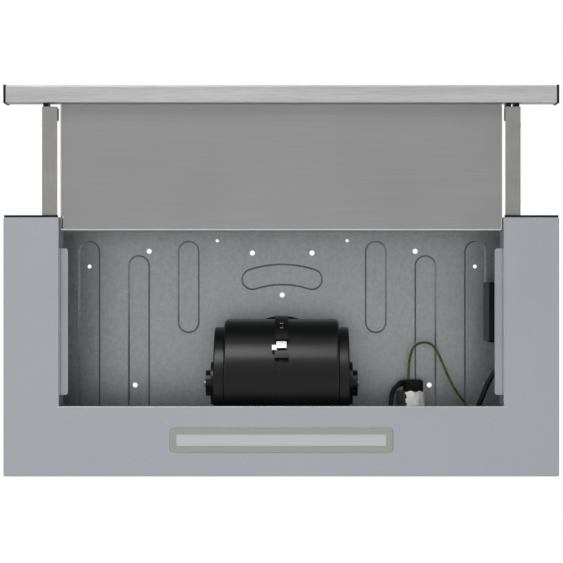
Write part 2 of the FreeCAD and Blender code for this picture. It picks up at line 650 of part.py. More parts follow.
def outlet_ring():
    """Round spigot on a flange that is held between the blower's neck and the roof."""
    rear = neck_rear(NECK_TOP)
    flange = rounded_prism(-SCROLL_HALF, SCROLL_HALF, FAN_Y - SCROLL_FRONT, rear,
                           NECK_TOP, ROOF_UNDER, SCROLL_EDGE_RADIUS)
    top = BODY_HEIGHT + SPIGOT_HEIGHT
    collar = rod(SPIGOT_RADIUS + SPIGOT_HOLE_CLEARANCE - 2 * RUNNING_FIT, (0, 0, ROOF_UNDER), (0, 0, BODY_HEIGHT))
    ring = flange.fuse([collar, rod(SPIGOT_RADIUS, (0, 0, BODY_HEIGHT), (0, 0, top))])
    ring = ring.cut(rod(SPIGOT_BORE, (0, 0, NECK_TOP - 1), (0, 0, top + 1)))
    ledge_width, ledge_height = FLAP_LEDGE
    ledge_top = FLAP_Z - GAP
    reach = SPIGOT_BORE + SPIGOT_WALL / 2
    ledge = rod(reach, (0, 0, ledge_top - ledge_height), (0, 0, ledge_top))
    ledge = ledge.cut(rod(SPIGOT_BORE - ledge_width, (0, 0, NECK_TOP), (0, 0, top)))
    bar = box(-reach, reach, -FLAP_BAR_HALF, FLAP_BAR_HALF,
              ledge_top - ledge_height, HINGE_Z + FLAP_KNUCKLE_RADIUS)
    bar = bar.common(rod(reach, (0, 0, NECK_TOP), (0, 0, top)))
    ring = ring.fuse(ledge).fuse(bar)
    for pin in flap_pins():
        ring = ring.cut(pin)
    for x, y in outlet_screw_places():
        ring = ring.cut(rod(OUTLET_SCREW_RADIUS, (x, y, NECK_TOP - 1), (x, y, ROOF_UNDER + 1)))
    return ring.removeSplitter()


def flap_pins():
    pins = []
    for side in (-1, 1):
        y = side * FLAP_HINGE_Y
        reach = math.sqrt((SPIGOT_BORE + SPIGOT_WALL / 2) ** 2 - y ** 2)
        pins.append(rod(FLAP_PIN_RADIUS, (-reach, y, HINGE_Z), (reach, y, HINGE_Z)))
    return pins


def flap():
    """Rear half of the non-return valve: a half disc with two knuckles on its hinge pin."""
    radius = SPIGOT_BORE - FLAP_CLEARANCE
    disc = rod(radius, (0, 0, FLAP_Z), (0, 0, FLAP_Z + FLAP_THICKNESS))
    start = FLAP_HINGE_Y + FLAP_PIN_RADIUS + 2 * RUNNING_FIT
    disc = disc.common(box(-radius, radius, start, radius, FLAP_Z, FLAP_Z + FLAP_THICKNESS))
    half_rib, rib_end = FLAP_RIB
    rib = box(-half_rib, half_rib, FLAP_HINGE_Y + FLAP_KNUCKLE_RADIUS + GAP, radius - rib_end,
              FLAP_Z, FLAP_Z + 2 * FLAP_THICKNESS)
    reach = math.sqrt(radius ** 2 - (FLAP_HINGE_Y + FLAP_KNUCKLE_RADIUS) ** 2) - FLAP_CLEARANCE
    knuckles = rod(FLAP_KNUCKLE_RADIUS, (-reach, FLAP_HINGE_Y, HINGE_Z), (reach, FLAP_HINGE_Y, HINGE_Z))
    gap = box(-reach / 2, reach / 2, 0, 2 * FLAP_HINGE_Y, FLAP_Z - 1, HINGE_Z + 2 * FLAP_KNUCKLE_RADIUS)
    leaf = disc.fuse(rib)
    leaf = leaf.cut(rod(FLAP_KNUCKLE_RADIUS + GAP, (-reach / 2, FLAP_HINGE_Y, HINGE_Z),
                        (reach / 2, FLAP_HINGE_Y, HINGE_Z)))
    leaf = leaf.fuse(knuckles.cut(gap))
    return leaf.cut(rod(FLAP_PIN_RADIUS + RUNNING_FIT, (-radius, FLAP_HINGE_Y, HINGE_Z),
                        (radius, FLAP_HINGE_Y, HINGE_Z))).removeSplitter()


# ---- blower --------------------------------------------------------------------------------------
def on_axle(x):
    return (x, FAN_Y, FAN_Z)


def ring_on_axle(x0, x1, outer, inner):
    return rod(outer, on_axle(x0), on_axle(x1)).cut(rod(inner, on_axle(x0), on_axle(x1)))


def scroll_centres():
    """Centres and radii of the scroll's three arcs: front, bottom and rear."""
    half = SCROLL_STEP / 2
    first = SCROLL_FRONT - half
    return [(FAN_Y - half, FAN_Z + half, first), (FAN_Y - half, FAN_Z - half, first - SCROLL_STEP),
            (FAN_Y + half, FAN_Z - half, first - 2 * SCROLL_STEP)]


def tongue_centre():
    u, v, radius = scroll_centres()[2]
    return polar(u, v, radius + TONGUE_RADIUS, TONGUE_ANGLE)


def neck_rear(z):
    """Where the outer face of the neck's sloping rear wall lies at a height."""
    start = polar(*tongue_centre(), TONGUE_RADIUS, 180 - OUTLET_FLARE)
    return start[0] + (z - start[1]) * math.tan(math.radians(OUTLET_FLARE))


def scroll_outline(inset, top):
    """Section of the housing in Y and Z, moved inwards by `inset`."""
    (u1, v1, r1), (u2, v2, r2), (u3, v3, r3) = scroll_centres()
    u4, v4 = tongue_centre()
    front = u1 - r1 + inset
    tongue = arc(u4, v4, TONGUE_RADIUS + inset, 180 + TONGUE_ANGLE, 180 - OUTLET_FLARE)
    rear = neck_rear(top) - inset / math.cos(math.radians(OUTLET_FLARE))
    return [((front, top), (front, v1)), arc(u1, v1, r1 - inset, 180, 270), arc(u2, v2, r2 - inset, 270, 360),
            arc(u3, v3, r3 - inset, 0, TONGUE_ANGLE), tongue, (tongue[-1], (rear, top)),
            ((rear, top), (front, top))]


def scroll_band(height, start, end, x0, x1):
    """Part of a raised band on the scroll, from one angle below the horizontal to another."""
    band = prism(scroll_outline(-height, NECK_TOP), at_yz(x0), (x1 - x0, 0, 0))
    reach = 2 * SCROLL_FRONT
    first = polar(FAN_Y, FAN_Z, reach, 180 + start)
    last = polar(FAN_Y, FAN_Z, reach, 180 + end)
    sector = [((FAN_Y, FAN_Z), first), (first, last), (last, (FAN_Y, FAN_Z))]
    return band.common(prism(sector, at_yz(x0), (x1 - x0, 0, 0)))


def blower_half():
    """Right half of the scroll housing, with its share of the seam bead, lugs and screw bosses."""
    body = prism(scroll_outline(0, NECK_TOP), at_yz(0), (SCROLL_HALF, 0, 0))
    rounded = [edge for edge in body.Edges
               if edge.BoundBox.XMin > SCROLL_HALF - 1e-4 and edge.BoundBox.ZMin < NECK_TOP - 1e-4]
    body = body.makeFillet(SCROLL_EDGE_RADIUS, rounded)
    body = body.fuse(prism(scroll_outline(-SEAM_HEIGHT, NECK_TOP), at_yz(0), (SEAM_WIDTH, 0, 0)))
    lug = scroll_band(FRONT_LUG[1], *FRONT_LUG_ANGLES, 0, FRONT_LUG[0])
    body = body.fuse(lug.common(box(0, BODY_HALF, BODY_FRONT, FAN_Y, 0, NECK_TOP)))
    body = body.fuse(scroll_band(CLIP_LUG[1], *CLIP_ANGLES, 0, CLIP_LUG[0]))
    body = body.fuse(scroll_band(CLAMP_LUG[1], *CLAMP_ANGLES, 0, CLAMP_LUG[0]))
    inner = SCROLL_HALF - SCROLL_WALL
    body = body.cut(prism(scroll_outline(SCROLL_WALL, NECK_TOP + 1), at_yz(-1), (inner + 1, 0, 0)))
    body = body.cut(rod(COVER_SPIGOT_RADIUS, on_axle(inner - 1), on_axle(SCROLL_HALF + 1)))
    for x, y in outlet_screw_places():
        if x > 0:
            boss = rod(OUTLET_BOSS_RADIUS, (x, y, NECK_TOP - OUTLET_BOSS_DEPTH), (x, y, NECK_TOP))
            corner = box(x, SCROLL_HALF - SCROLL_WALL / 2, y - OUTLET_BOSS_RADIUS, y + OUTLET_BOSS_RADIUS,
                         NECK_TOP - OUTLET_BOSS_DEPTH, NECK_TOP)
            body = body.fuse(boss.fuse(corner))
            body = body.cut(rod(OUTLET_SCREW_RADIUS, (x, y, NECK_TOP - SCREW_GRIP), (x, y, NECK_TOP + 1)))
    return body.removeSplitter()


def housing_clip():
    """Spring steel clip sprung over the pair of lugs below the front, with its release tail."""
    half, height = CLIP_LUG
    start, end = CLIP_ANGLES
    tail_start, tail_end, tail_length = CLIP_TAIL
    tail_height = height - CLIP_SHEET
    reach = half + 2 * tail_length
    inner = scroll_band(height + GAP, start - 1, end + 1, -half - GAP, half + GAP)
    side = half + GAP + CLIP_SHEET
    outer = scroll_band(height + GAP + CLIP_SHEET, start, end, -side, side)
    foot = scroll_band(GAP + SEAM_HEIGHT, start - 1, end + 1, -reach, reach)
    clip = outer.cut(inner).cut(foot)
    tail = scroll_band(tail_height, tail_start, tail_end, -half - tail_length, -half - GAP)
    tail = tail.cut(scroll_band(tail_height - CLIP_SHEET, start, tail_end + 1, -reach, reach))
    return clip.fuse(tail).removeSplitter()


def inlet_cover():
    """Bell-mouthed ring on the right end, with guard rings and spokes that carry the motor's hub."""
    end = SCROLL_HALF + COVER_LENGTH
    inside = SCROLL_HALF - COVER_REACH
    wall = SCROLL_HALF - SCROLL_WALL
    web = end - COVER_WEB
    step = SCROLL_HALF + COVER_SHADOW_LINE
    sunk = COVER_RADIUS - COVER_SHADOW_LINE
    spigot = COVER_SPIGOT_RADIUS - 2 * RUNNING_FIT
    round_off = COVER_ROUNDING
    shoulder = COVER_RADIUS - round_off * (1 - math.sqrt(0.5))
    bell = (web, THROAT_RADIUS + (COVER_RIM_RADIUS - THROAT_RADIUS) / 3)
    mouth = [((inside, THROAT_RADIUS + COVER_LIP), (inside, THROAT_RADIUS)),
             ((inside, THROAT_RADIUS), (wall, THROAT_RADIUS)),
             ((wall, THROAT_RADIUS), bell, (end, COVER_RIM_RADIUS)),
             ((end, COVER_RIM_RADIUS), (end, COVER_RADIUS - round_off)),
             ((end, COVER_RADIUS - round_off), (end - round_off * (1 - math.sqrt(0.5)), shoulder),
              (end - round_off, COVER_RADIUS))]
    corners = [(end - round_off, COVER_RADIUS), (step, COVER_RADIUS), (step, sunk), (SCROLL_HALF, sunk),
               (SCROLL_HALF, spigot), (wall, spigot), (wall, THROAT_RADIUS + 2 * COVER_LIP),
               (inside, THROAT_RADIUS + COVER_LIP)]
    profile = mouth + list(zip(corners, corners[1:]))
    face = Part.Face(wire(profile, lambda u, v: Vector(u, FAN_Y, FAN_Z + v)))
    cover = face.revolve(Vector(*on_axle(0)), Vector(1, 0, 0), 360)
    for index in range(SPOKE_COUNT):
        spoke = box(web, end, FAN_Y - SPOKE_WIDTH / 2, FAN_Y + SPOKE_WIDTH / 2,
                    FAN_Z + HUB_RADIUS, FAN_Z + COVER_RIM_RADIUS + SHEET)
        spoke.rotate(Vector(*on_axle(0)), Vector(1, 0, 0), (index + 0.5) * 360 / SPOKE_COUNT)
        cover = cover.fuse(spoke)
    for radius in GUARD_RADII:
        cover = cover.fuse(ring_on_axle(web + 1, end - 1, radius + GUARD_WIDTH / 2, radius - GUARD_WIDTH / 2))
    cover = cover.fuse(rod(HUB_PLATE_RADIUS, on_axle(web), on_axle(HUB_PLATE_END)))
    cover = cover.fuse(rod(HUB_RADIUS, on_axle(web), on_axle(HUB_END)))
    x, y, z = LEAD_ROUTE[-1]
    cover = cover.fuse(rod(CABLE_BOSS_RADIUS, (web, y, z), (x, y, z)))
    return cover.cut(rod(HUB_BORE_RADIUS, on_axle(web - 1), on_axle(HUB_END + 1))).removeSplitter()


def axle():
    return rod(AXLE_RADIUS, on_axle(-AXLE_END), on_axle(AXLE_END))


def axle_bush():
    """Rubber bush that holds the right end of the axle in the cover's hub."""
    start = SCROLL_HALF + COVER_LENGTH - COVER_WEB
    return ring_on_axle(start, HUB_END - RUBBER_INSET, HUB_BORE_RADIUS, AXLE_RADIUS)


def stator():
    core = ring_on_axle(-STATOR_HALF, STATOR_HALF, STATOR_RADIUS, AXLE_RADIUS)
    coils = ring_on_axle(-COIL_HALF, COIL_HALF, COIL_RADIUS, COIL_BORE)
    return core.fuse(coils).removeSplitter()


def rotor_can():
    """Closed can that turns round the stator, with a bearing seat in each end."""
    can = ring_on_axle(-ROTOR_HALF, ROTOR_HALF, ROTOR_RADIUS, BEARING_RADIUS)
    hollow = ROTOR_HALF - BEARING_WIDTH
    can = can.cut(ring_on_axle(-hollow, hollow, ROTOR_RADIUS - ROTOR_WALL, BEARING_RADIUS - 1))
    return can.removeSplitter()


def rotor_bearing(side):
    outer = side * ROTOR_HALF
    inner = side * (ROTOR_HALF - BEARING_WIDTH)
    return ring_on_axle(min(inner, outer), max(inner, outer), BEARING_RADIUS, AXLE_RADIUS + RUNNING_FIT)


def impeller_wheel():
    """Middle disc with its sleeve on the rotor can, and the two rim rings that the blades are set between."""
    half = IMPELLER_SHEET / 2
    disc = ring_on_axle(-half, half, IMPELLER_EYE, ROTOR_RADIUS)
    sleeve = ring_on_axle(-IMPELLER_SLEEVE, IMPELLER_SLEEVE, ROTOR_RADIUS + IMPELLER_SHEET, ROTOR_RADIUS)
    rings = [ring_on_axle(start, start + IMPELLER_SHEET, IMPELLER_RADIUS, IMPELLER_EYE)
             for start in (-IMPELLER_HALF, IMPELLER_HALF - IMPELLER_SHEET)]
    return [disc.fuse(sleeve).removeSplitter()] + rings


def impeller_blades():
    """Forward-curved blades, from rim to rim of the double-width wheel and round its middle disc."""
    half_turn = [math.degrees(BLADE_THICKNESS / 2 / radius)
                 for radius in (IMPELLER_EYE, BLADE_MIDDLE_RADIUS, IMPELLER_RADIUS)]
    line = [(IMPELLER_EYE, 0), (BLADE_MIDDLE_RADIUS, -BLADE_MIDDLE_TURN), (IMPELLER_RADIUS, -BLADE_TIP_TURN)]
    reach = IMPELLER_HALF - IMPELLER_SHEET
    blades = []
    for index in range(BLADE_COUNT):
        turn = index * 360 / BLADE_COUNT
        ahead = []
        behind = []
        for (radius, angle), half in zip(line, half_turn):
            ahead.append(polar(FAN_Y, FAN_Z, radius, turn + angle - half))
            behind.append(polar(FAN_Y, FAN_Z, radius, turn + angle + half))
        root = polar(FAN_Y, FAN_Z, IMPELLER_EYE, turn)
        section = [tuple(ahead), (ahead[-1], behind[-1]), tuple(reversed(behind)), (behind[0], root, ahead[0])]
        blades.append(prism(section, at_yz(-reach), (2 * reach, 0, 0)))
    return blades


# ---- lamp ----------------------------------------------------------------------------------------
def lamp_prism(half_x, half_y, z0, z1, radius):
    return rounded_prism(-half_x, half_x, LAMP_Y - half_y, LAMP_Y + half_y, z0, z1, radius)


def lamp_bezel():
    """Frame of the lamp under the base, with a neck that reaches up through it."""
    face = lamp_prism(LAMP_HALF_X, LAMP_HALF_Y, -LAMP_PROUD, 0, LAMP_CORNER)
    face = face.makeChamfer(LAMP_CHAMFER, edges_at_level(face, -LAMP_PROUD))
    half_x, half_y = LAMP_NECK
    wall = LAMP_NECK_WALL
    neck = lamp_prism(half_x, half_y, -LAMP_PROUD / 2, LAMP_NECK_HEIGHT, LAMP_CORNER / 2)
    hollow = lamp_prism(half_x - wall, half_y - wall, 0, LAMP_NECK_HEIGHT + 1, LAMP_CORNER / 3)
    lens_x, lens_y = DIFFUSER_HALF
    window = lamp_prism(lens_x + LAMP_CLEARANCE, lens_y + LAMP_CLEARANCE, -2 * LAMP_PROUD, 1, LAMP_CORNER / 3)
    return face.fuse(neck).cut(hollow).cut(window).removeSplitter()


def lamp_diffuser():
    """Frosted lens with a flange that lies on the frame from inside."""
    lens = lamp_prism(*DIFFUSER_HALF, LAMP_CHAMFER - LAMP_PROUD, DIFFUSER_FLANGE / 2, LAMP_CORNER / 3)
    half_x, half_y = (size - LAMP_NECK_WALL - LAMP_CLEARANCE for size in LAMP_NECK)
    return lens.fuse(lamp_prism(half_x, half_y, 0, DIFFUSER_FLANGE, LAMP_CORNER / 3)).removeSplitter()


def lamp_tray():
    """Sheet cover over the lamp, standing on the base, with the strip of diodes under its roof."""
    half_x, half_y = (size + 2 * SHEET for size in LAMP_NECK)
    cover = lamp_prism(half_x, half_y, SHEET, LAMP_TRAY_TOP, LAMP_CORNER / 2)
    return cover.cut(lamp_prism(half_x - SHEET, half_y - SHEET,
                                SHEET / 2, LAMP_TRAY_TOP - SHEET, LAMP_CORNER / 4))


def led_board():
    top = LAMP_TRAY_TOP - SHEET
    thickness, half_y, end_gap = LED_BOARD
    half_x = DIFFUSER_HALF[0] - end_gap
    board = box(-half_x, half_x, LAMP_Y - half_y, LAMP_Y + half_y, top - thickness, top)
    size, height = LED_CHIP
    pitch = 2 * half_x / LED_COUNT
    for index in range(LED_COUNT):
        x = (index + 0.5) * pitch - half_x
        board = board.fuse(box(x - size / 2, x + size / 2, LAMP_Y - size / 2, LAMP_Y + size / 2,
                               top - thickness - height, top - thickness))
    return board.removeSplitter()


# ---- visor ---------------------------------------------------------------------------------------
def button_places():
    first = BUTTON_X - (BUTTON_COUNT - 1) * BUTTON_PITCH / 2
    return [first + index * BUTTON_PITCH for index in range(BUTTON_COUNT)]


def front_strip():
    """Brushed strip: a folded box section with a window for the button console in its front face."""
    middle = SHEET / 2
    front, rear = STRIP_FRONT + middle, STRIP_REAR - middle
    top = STRIP_HEIGHT - middle
    path = [(rear, STRIP_HEIGHT - STRIP_SLIT), (rear, middle), (front, middle), (front, top), (rear, top)]
    strip = fold_along_x(path, -STRIP_HALF, STRIP_HALF)
    half = CONSOLE_HALF_X - CONSOLE_PLATE
    tall = CONSOLE_HALF_Z - CONSOLE_PLATE / 2
    window = box(BUTTON_X - half, BUTTON_X + half, STRIP_FRONT - 1, STRIP_FRONT + 2 * SHEET,
                 CONSOLE_Z - tall, CONSOLE_Z + tall)
    return strip.cut(window)


def end_cap():
    """Black cap with a plug that fits into the right end of the strip."""
    outline = rounded_rect(STRIP_FRONT - CAP_PROUD, STRIP_REAR + CAP_PROUD,
                           -CAP_PROUD, STRIP_HEIGHT + CAP_PROUD, BEND + CAP_PROUD)
    cap = prism(outline, at_yz(STRIP_HALF), (CAP_THICKNESS, 0, 0))
    inset = SHEET + LAMP_CLEARANCE
    plug = prism(rounded_rect(STRIP_FRONT + inset, STRIP_REAR - inset, inset, STRIP_HEIGHT - inset, CAP_PROUD),
                 at_yz(STRIP_HALF - CAP_PLUG), (CAP_PLUG, 0, 0))
    return cap.fuse(plug).removeSplitter()


def visor_panel():
    """Steel sheet of the visor, with its edges turned up and a drip slot at its left rear corner."""
    panel = pan(-VISOR_HALF, VISOR_HALF, STRIP_REAR, VISOR_REAR, VISOR_LEVEL, VISOR_LEVEL + VISOR_RIM,
                VISOR_FOLD, VISOR_FOLD)
    slot_from, slot_to, length = DRIP_SLOT
    rear = VISOR_REAR - VISOR_FOLD
    return panel.cut(box(slot_to - VISOR_HALF, slot_from - VISOR_HALF, rear - length, rear,
                         VISOR_LEVEL - 1, VISOR_LEVEL + 2 * SHEET))


def runner():
    """Right-hand channel that carries the visor, open towards the middle of the hood."""
    middle = SHEET / 2
    path = [(RUNNER_OUTER - RUNNER_LIP, RUNNER_TOP - middle), (RUNNER_OUTER - middle, RUNNER_TOP - middle),
            (RUNNER_OUTER - middle, RUNNER_BOTTOM + middle), (RUNNER_INNER, RUNNER_BOTTOM + middle)]
    channel = fold_along_y(path, RUNNER_FRONT, RUNNER_REAR)
    for y, head in RIVETS:
        channel = channel.cut(rod(RIVET_SHANK, (RUNNER_OUTER - 2 * SHEET, y, SLIDE_MID_Z),
                                  (RUNNER_OUTER + SHEET, y, SLIDE_MID_Z)))
    return channel


def coupler(legs):
    """Black plug in the runner's front end, with feet that reach to the back of the strip."""
    inner, outer = RUNNER_INNER + COUPLER_INSET, RUNNER_OUTER - SHEET
    bottom, top = RUNNER_BOTTOM + SHEET, RUNNER_TOP - SHEET
    plug = box(inner, outer, RUNNER_FRONT, MOVING_SLIDE_FRONT - GAP, bottom, top)
    plug = plug.makeFillet(BEND, [edge for edge in plug.Edges
                                  if edge.BoundBox.XMin > outer - 1e-4 and edge.BoundBox.YLength > 1])
    for start, end in legs:
        plug = plug.fuse(box(start, end, STRIP_REAR, RUNNER_FRONT + 1,
                             bottom + COUPLER_FOOT / 2, top - COUPLER_FOOT / 2))
    return plug.removeSplitter()


def slide_section(web_x, outward, height):
    """Path of one C-shaped slide member: from its web's middle line, with ball lips at both edges."""
    half = height / 2 - SLIDE_SHEET / 2
    tip_x = web_x + outward * (SLIDE_DEPTH - SLIDE_SHEET)
    return half, tip_x


def slide_path(tip, web, half, lip):
    z = SLIDE_MID_Z
    return [(tip, z - lip), (tip, z - half), (web, z - half), (web, z + half), (tip, z + half), (tip, z + lip)]


def fixed_slide():
    """Member on the outer face of the opening's rim; its lips turn in over the balls."""
    web = RIM_OUTER + SLIDE_SHEET / 2
    half, tip = slide_section(web, 1, FIXED_SLIDE_HEIGHT)
    lip = half - SLIDE_LIP + SLIDE_SHEET / 2
    member = fold_along_y(slide_path(tip, web, half, lip), FIXED_SLIDE_FRONT, FIXED_SLIDE_REAR,
                          SLIDE_SHEET, SLIDE_BEND)
    for y in SLIDE_SCREW_Y:
        member = member.cut(rod(SLIDE_SCREW_RADIUS, (OPENING_HALF, y, SLIDE_MID_Z),
                                (web + SLIDE_SHEET, y, SLIDE_MID_Z)))
    return member


def moving_slide():
    """Member riveted to the runner's web; its lips turn out behind the balls."""
    web = RUNNER_OUTER - SHEET - SLIDE_SHEET / 2
    half, tip = slide_section(web, -1, MOVING_SLIDE_HEIGHT)
    lip = half + SLIDE_LIP - SLIDE_SHEET / 2
    member = fold_along_y(slide_path(tip, web, half, lip), MOVING_SLIDE_FRONT, MOVING_SLIDE_REAR,
                          SLIDE_SHEET, SLIDE_BEND)
    for y, head in RIVETS:
        member = member.cut(rod(RIVET_SHANK, (web - SLIDE_SHEET, y, SLIDE_MID_Z),
                                (RUNNER_OUTER, y, SLIDE_MID_Z)))
    return member


def ball_places():
    """Centres of the balls, between the fixed and the moving member."""
    fixed_inner = FIXED_SLIDE_HEIGHT / 2 - SLIDE_SHEET
    reach = (fixed_inner + MOVING_SLIDE_HEIGHT / 2) / 2
    fixed_tip = RIM_OUTER + SLIDE_DEPTH - SLIDE_SHEET
    moving_tip = RUNNER_OUTER - SHEET - SLIDE_DEPTH + SLIDE_SHEET
    x = (fixed_tip + moving_tip) / 2
    first = CAGE_FRONT + (CAGE_LENGTH - (BALLS_PER_ROW - 1) * BALL_PITCH) / 2
    return [Vector(x, first + index * BALL_PITCH, SLIDE_MID_Z + side * reach)
            for side in (-1, 1) for index in range(BALLS_PER_ROW)]


def ball_cage():
    """Thin cage, as solids: the cage first, then its balls."""
    places = ball_places()
    reach = places[-1].z - SLIDE_MID_Z
    web = RIM_OUTER + SLIDE_SHEET + CAGE_WEB_GAP
    tip = places[0].x + BALL_RADIUS + CAGE_EDGE
    path = [(tip, SLIDE_MID_Z - reach), (web, SLIDE_MID_Z - reach), (web, SLIDE_MID_Z + reach),
            (tip, SLIDE_MID_Z + reach)]
    cage = fold_along_y(path, CAGE_FRONT, CAGE_FRONT + CAGE_LENGTH, CAGE_SHEET, SLIDE_BEND)
    balls = []
    for place in places:
        hole = BALL_RADIUS + RUNNING_FIT
        cage = cage.cut(Part.makeCylinder(hole, 2 * hole, place - Vector(0, 0, hole)))
        balls.append(Part.makeSphere(BALL_RADIUS, place))
    return [cage] + balls


def runner_rivets():
    """Rivets through the runner and the moving member."""
    rivets = []
    for y, head in RIVETS:
        inside = RUNNER_OUTER - SHEET - SLIDE_SHEET
        shank = rod(RIVET_SHANK, (inside, y, SLIDE_MID_Z), (RUNNER_OUTER, y, SLIDE_MID_Z))
        tail = rod(RIVET_TAIL[0], (inside - RIVET_TAIL[1], y, SLIDE_MID_Z), (inside, y, SLIDE_MID_Z))
        dome = rod(head, (RUNNER_OUTER, y, SLIDE_MID_Z), (RUNNER_OUTER + RIVET_HEAD, y, SLIDE_MID_Z))
        crown = [edge for edge in dome.Edges if edge.BoundBox.XMin > RUNNER_OUTER + RIVET_HEAD - 1e-4]
        rivets.append(shank.fuse([tail, dome.makeChamfer(RIVET_HEAD / 2, crown)]))
    return rivets


def slide_screws():
    """Screws through the fixed member into the opening's rim."""
    screws = []
    face = RIM_OUTER + SLIDE_SHEET
    for y in SLIDE_SCREW_Y:
        shank = rod(SLIDE_SCREW_RADIUS, (OPENING_HALF, y, SLIDE_MID_Z), (face, y, SLIDE_MID_Z))
        head = rod(SLIDE_SCREW_HEAD[0], (face, y, SLIDE_MID_Z), (face + SLIDE_SCREW_HEAD[1], y, SLIDE_MID_Z))
        screws.append(shank.fuse(head))
    return screws


def button_console():
    """Black plate in the strip's front face with the guide walls of the push buttons."""
    half, tall = CONSOLE_HALF_X, CONSOLE_HALF_Z
    outline = rounded_rect(BUTTON_X - half, BUTTON_X + half, CONSOLE_Z - tall, CONSOLE_Z + tall, CONSOLE_CORNER)
    plate = prism(outline, at_xz(STRIP_FRONT - CONSOLE_PLATE), (0, CONSOLE_PLATE, 0))
    rear = STRIP_FRONT + CONSOLE_DEPTH
    body_x = half - CONSOLE_PLATE - LAMP_CLEARANCE
    body_z = tall - CONSOLE_PLATE / 2 - LAMP_CLEARANCE
    console = plate.fuse(box(BUTTON_X - body_x, BUTTON_X + body_x, STRIP_FRONT, rear,
                             CONSOLE_Z - body_z, CONSOLE_Z + body_z))
    hole_x = BUTTON_WIDTH / 2 + BUTTON_CLEARANCE
    hole_z = BUTTON_HEIGHT / 2 + BUTTON_CLEARANCE
    for x in button_places():
        for front, wider in ((STRIP_FRONT - 2 * CONSOLE_PLATE, 0), (STRIP_FRONT + SHEET, BUTTON_FLANGE)):
            console = console.cut(box(x - hole_x - wider, x + hole_x + wider, front, rear + 1,
                                      CONSOLE_Z - hole_z - wider, CONSOLE_Z + hole_z + wider))
    return console.removeSplitter()


def button(x):
    """Push button with a flange behind the console's plate that keeps it in."""
    half_x, half_z = BUTTON_WIDTH / 2, BUTTON_HEIGHT / 2
    front = STRIP_FRONT - CONSOLE_PLATE - BUTTON_PROUD
    flange_front = STRIP_FRONT + SHEET + GAP
    flange_rear = flange_front + 2 * BUTTON_FLANGE
    outline = rounded_rect(x - half_x, x + half_x, CONSOLE_Z - half_z, CONSOLE_Z + half_z, BUTTON_CORNER)
    cap = prism(outline, at_xz(front), (0, flange_rear + BUTTON_TRAVEL - front, 0))
    cap = cap.makeChamfer(BUTTON_CORNER / 2, [edge for edge in cap.Edges if edge.BoundBox.YMax < front + 1e-4])
    flange = box(x - half_x - BUTTON_FLANGE, x + half_x + BUTTON_FLANGE, flange_front, flange_rear,
                 CONSOLE_Z - half_z - BUTTON_FLANGE, CONSOLE_Z + half_z + BUTTON_FLANGE)
    return cap.fuse(flange).removeSplitter()


# ---- electrical parts in the body ----------------------------------------------------------------
def control_box():
    """Base tray and cover of the control box on the right wall, as two pieces."""
    wall = CONTROL_WALL
    middle = WALL_HALF - CONTROL_BASE_DEPTH
    face = WALL_HALF - CONTROL_DEPTH
    outline = rounded_rect(CONTROL_FRONT, CONTROL_REAR, CONTROL_BOTTOM, CONTROL_TOP, CONTROL_CORNER)
    inside = rounded_rect(CONTROL_FRONT + wall, CONTROL_REAR - wall,
                          CONTROL_BOTTOM + wall, CONTROL_TOP - wall, CONTROL_CORNER - wall / 2)
    base = prism(outline, at_yz(middle), (CONTROL_BASE_DEPTH, 0, 0))
    base = base.cut(prism(inside, at_yz(middle - 1), (CONTROL_BASE_DEPTH - wall + 1, 0, 0)))
    cover = prism(outline, at_yz(face), (middle - face, 0, 0))
    rounded = [edge for edge in cover.Edges if edge.BoundBox.XMax < face + 1e-4]
    cover = cover.makeFillet(CONTROL_CORNER / 2, rounded)
    cover = cover.cut(prism(inside, at_yz(face + wall), (middle - face, 0, 0)))
    x, y, z = MAINS_ROUTE[0]
    return base, cover.cut(rod(MAINS_DIAMETER / 2, (x, y - 2 * wall, z), (x, y + wall, z)))


def circuit_board():
    """Board in the mouth of the control box's base, with a relay and a choke on it."""
    middle = WALL_HALF - CONTROL_BASE_DEPTH
    inset = CONTROL_WALL + 4 * GAP
    board = box(middle, middle + BOARD_THICKNESS, CONTROL_FRONT + inset, CONTROL_REAR - inset,
                CONTROL_BOTTOM + inset, CONTROL_TOP - inset)
    for y, z, size_y, size_z, height in BOARD_BLOCKS:
        block = box(middle - height, middle, CONTROL_FRONT + y, CONTROL_FRONT + y + size_y,
                    CONTROL_BOTTOM + z, CONTROL_BOTTOM + z + size_z)
        board = board.fuse(block)
    return board.removeSplitter()


def capacitor_can():
    y0, y1 = CAPACITOR_FRONT, CAPACITOR_FRONT + CAPACITOR_LENGTH
    can = rod(CAPACITOR_RADIUS, (CAPACITOR_X, y0, CAPACITOR_Z), (CAPACITOR_X, y1, CAPACITOR_Z))
    return can.makeFillet(CAPACITOR_ROUNDING, [edge for edge in can.Edges if edge.BoundBox.YMin > y1 - 1e-4])


def capacitor_boot():
    half = BOOT_WIDTH / 2
    outline = rounded_rect(BOOT_X - half, BOOT_X + half, CAPACITOR_Z - BOOT_HEIGHT / 2,
                           CAPACITOR_Z + BOOT_HEIGHT / 2, BOOT_CORNER)
    boot = prism(outline, at_xz(BOOT_FRONT), (0, CAPACITOR_FRONT - BOOT_FRONT, 0))
    rounded = [edge for edge in boot.Edges if edge.BoundBox.YMax < BOOT_FRONT + 1e-4]
    boot = boot.makeFillet(BOOT_ROUNDING, rounded)
    tip = Vector(*LEAD_ROUTE[0])
    along = (Vector(*LEAD_ROUTE[1]) - tip).normalize()
    root = tip - along * BOOT_NOSE[1]
    nose = Part.makeCylinder(BOOT_NOSE[0], BOOT_NOSE[1], root, along)
    beyond = box(0, BODY_HALF, BODY_FRONT, BOOT_FRONT + GAP, 0, BODY_HEIGHT)
    return boot.fuse(nose.cut(beyond)).removeSplitter()


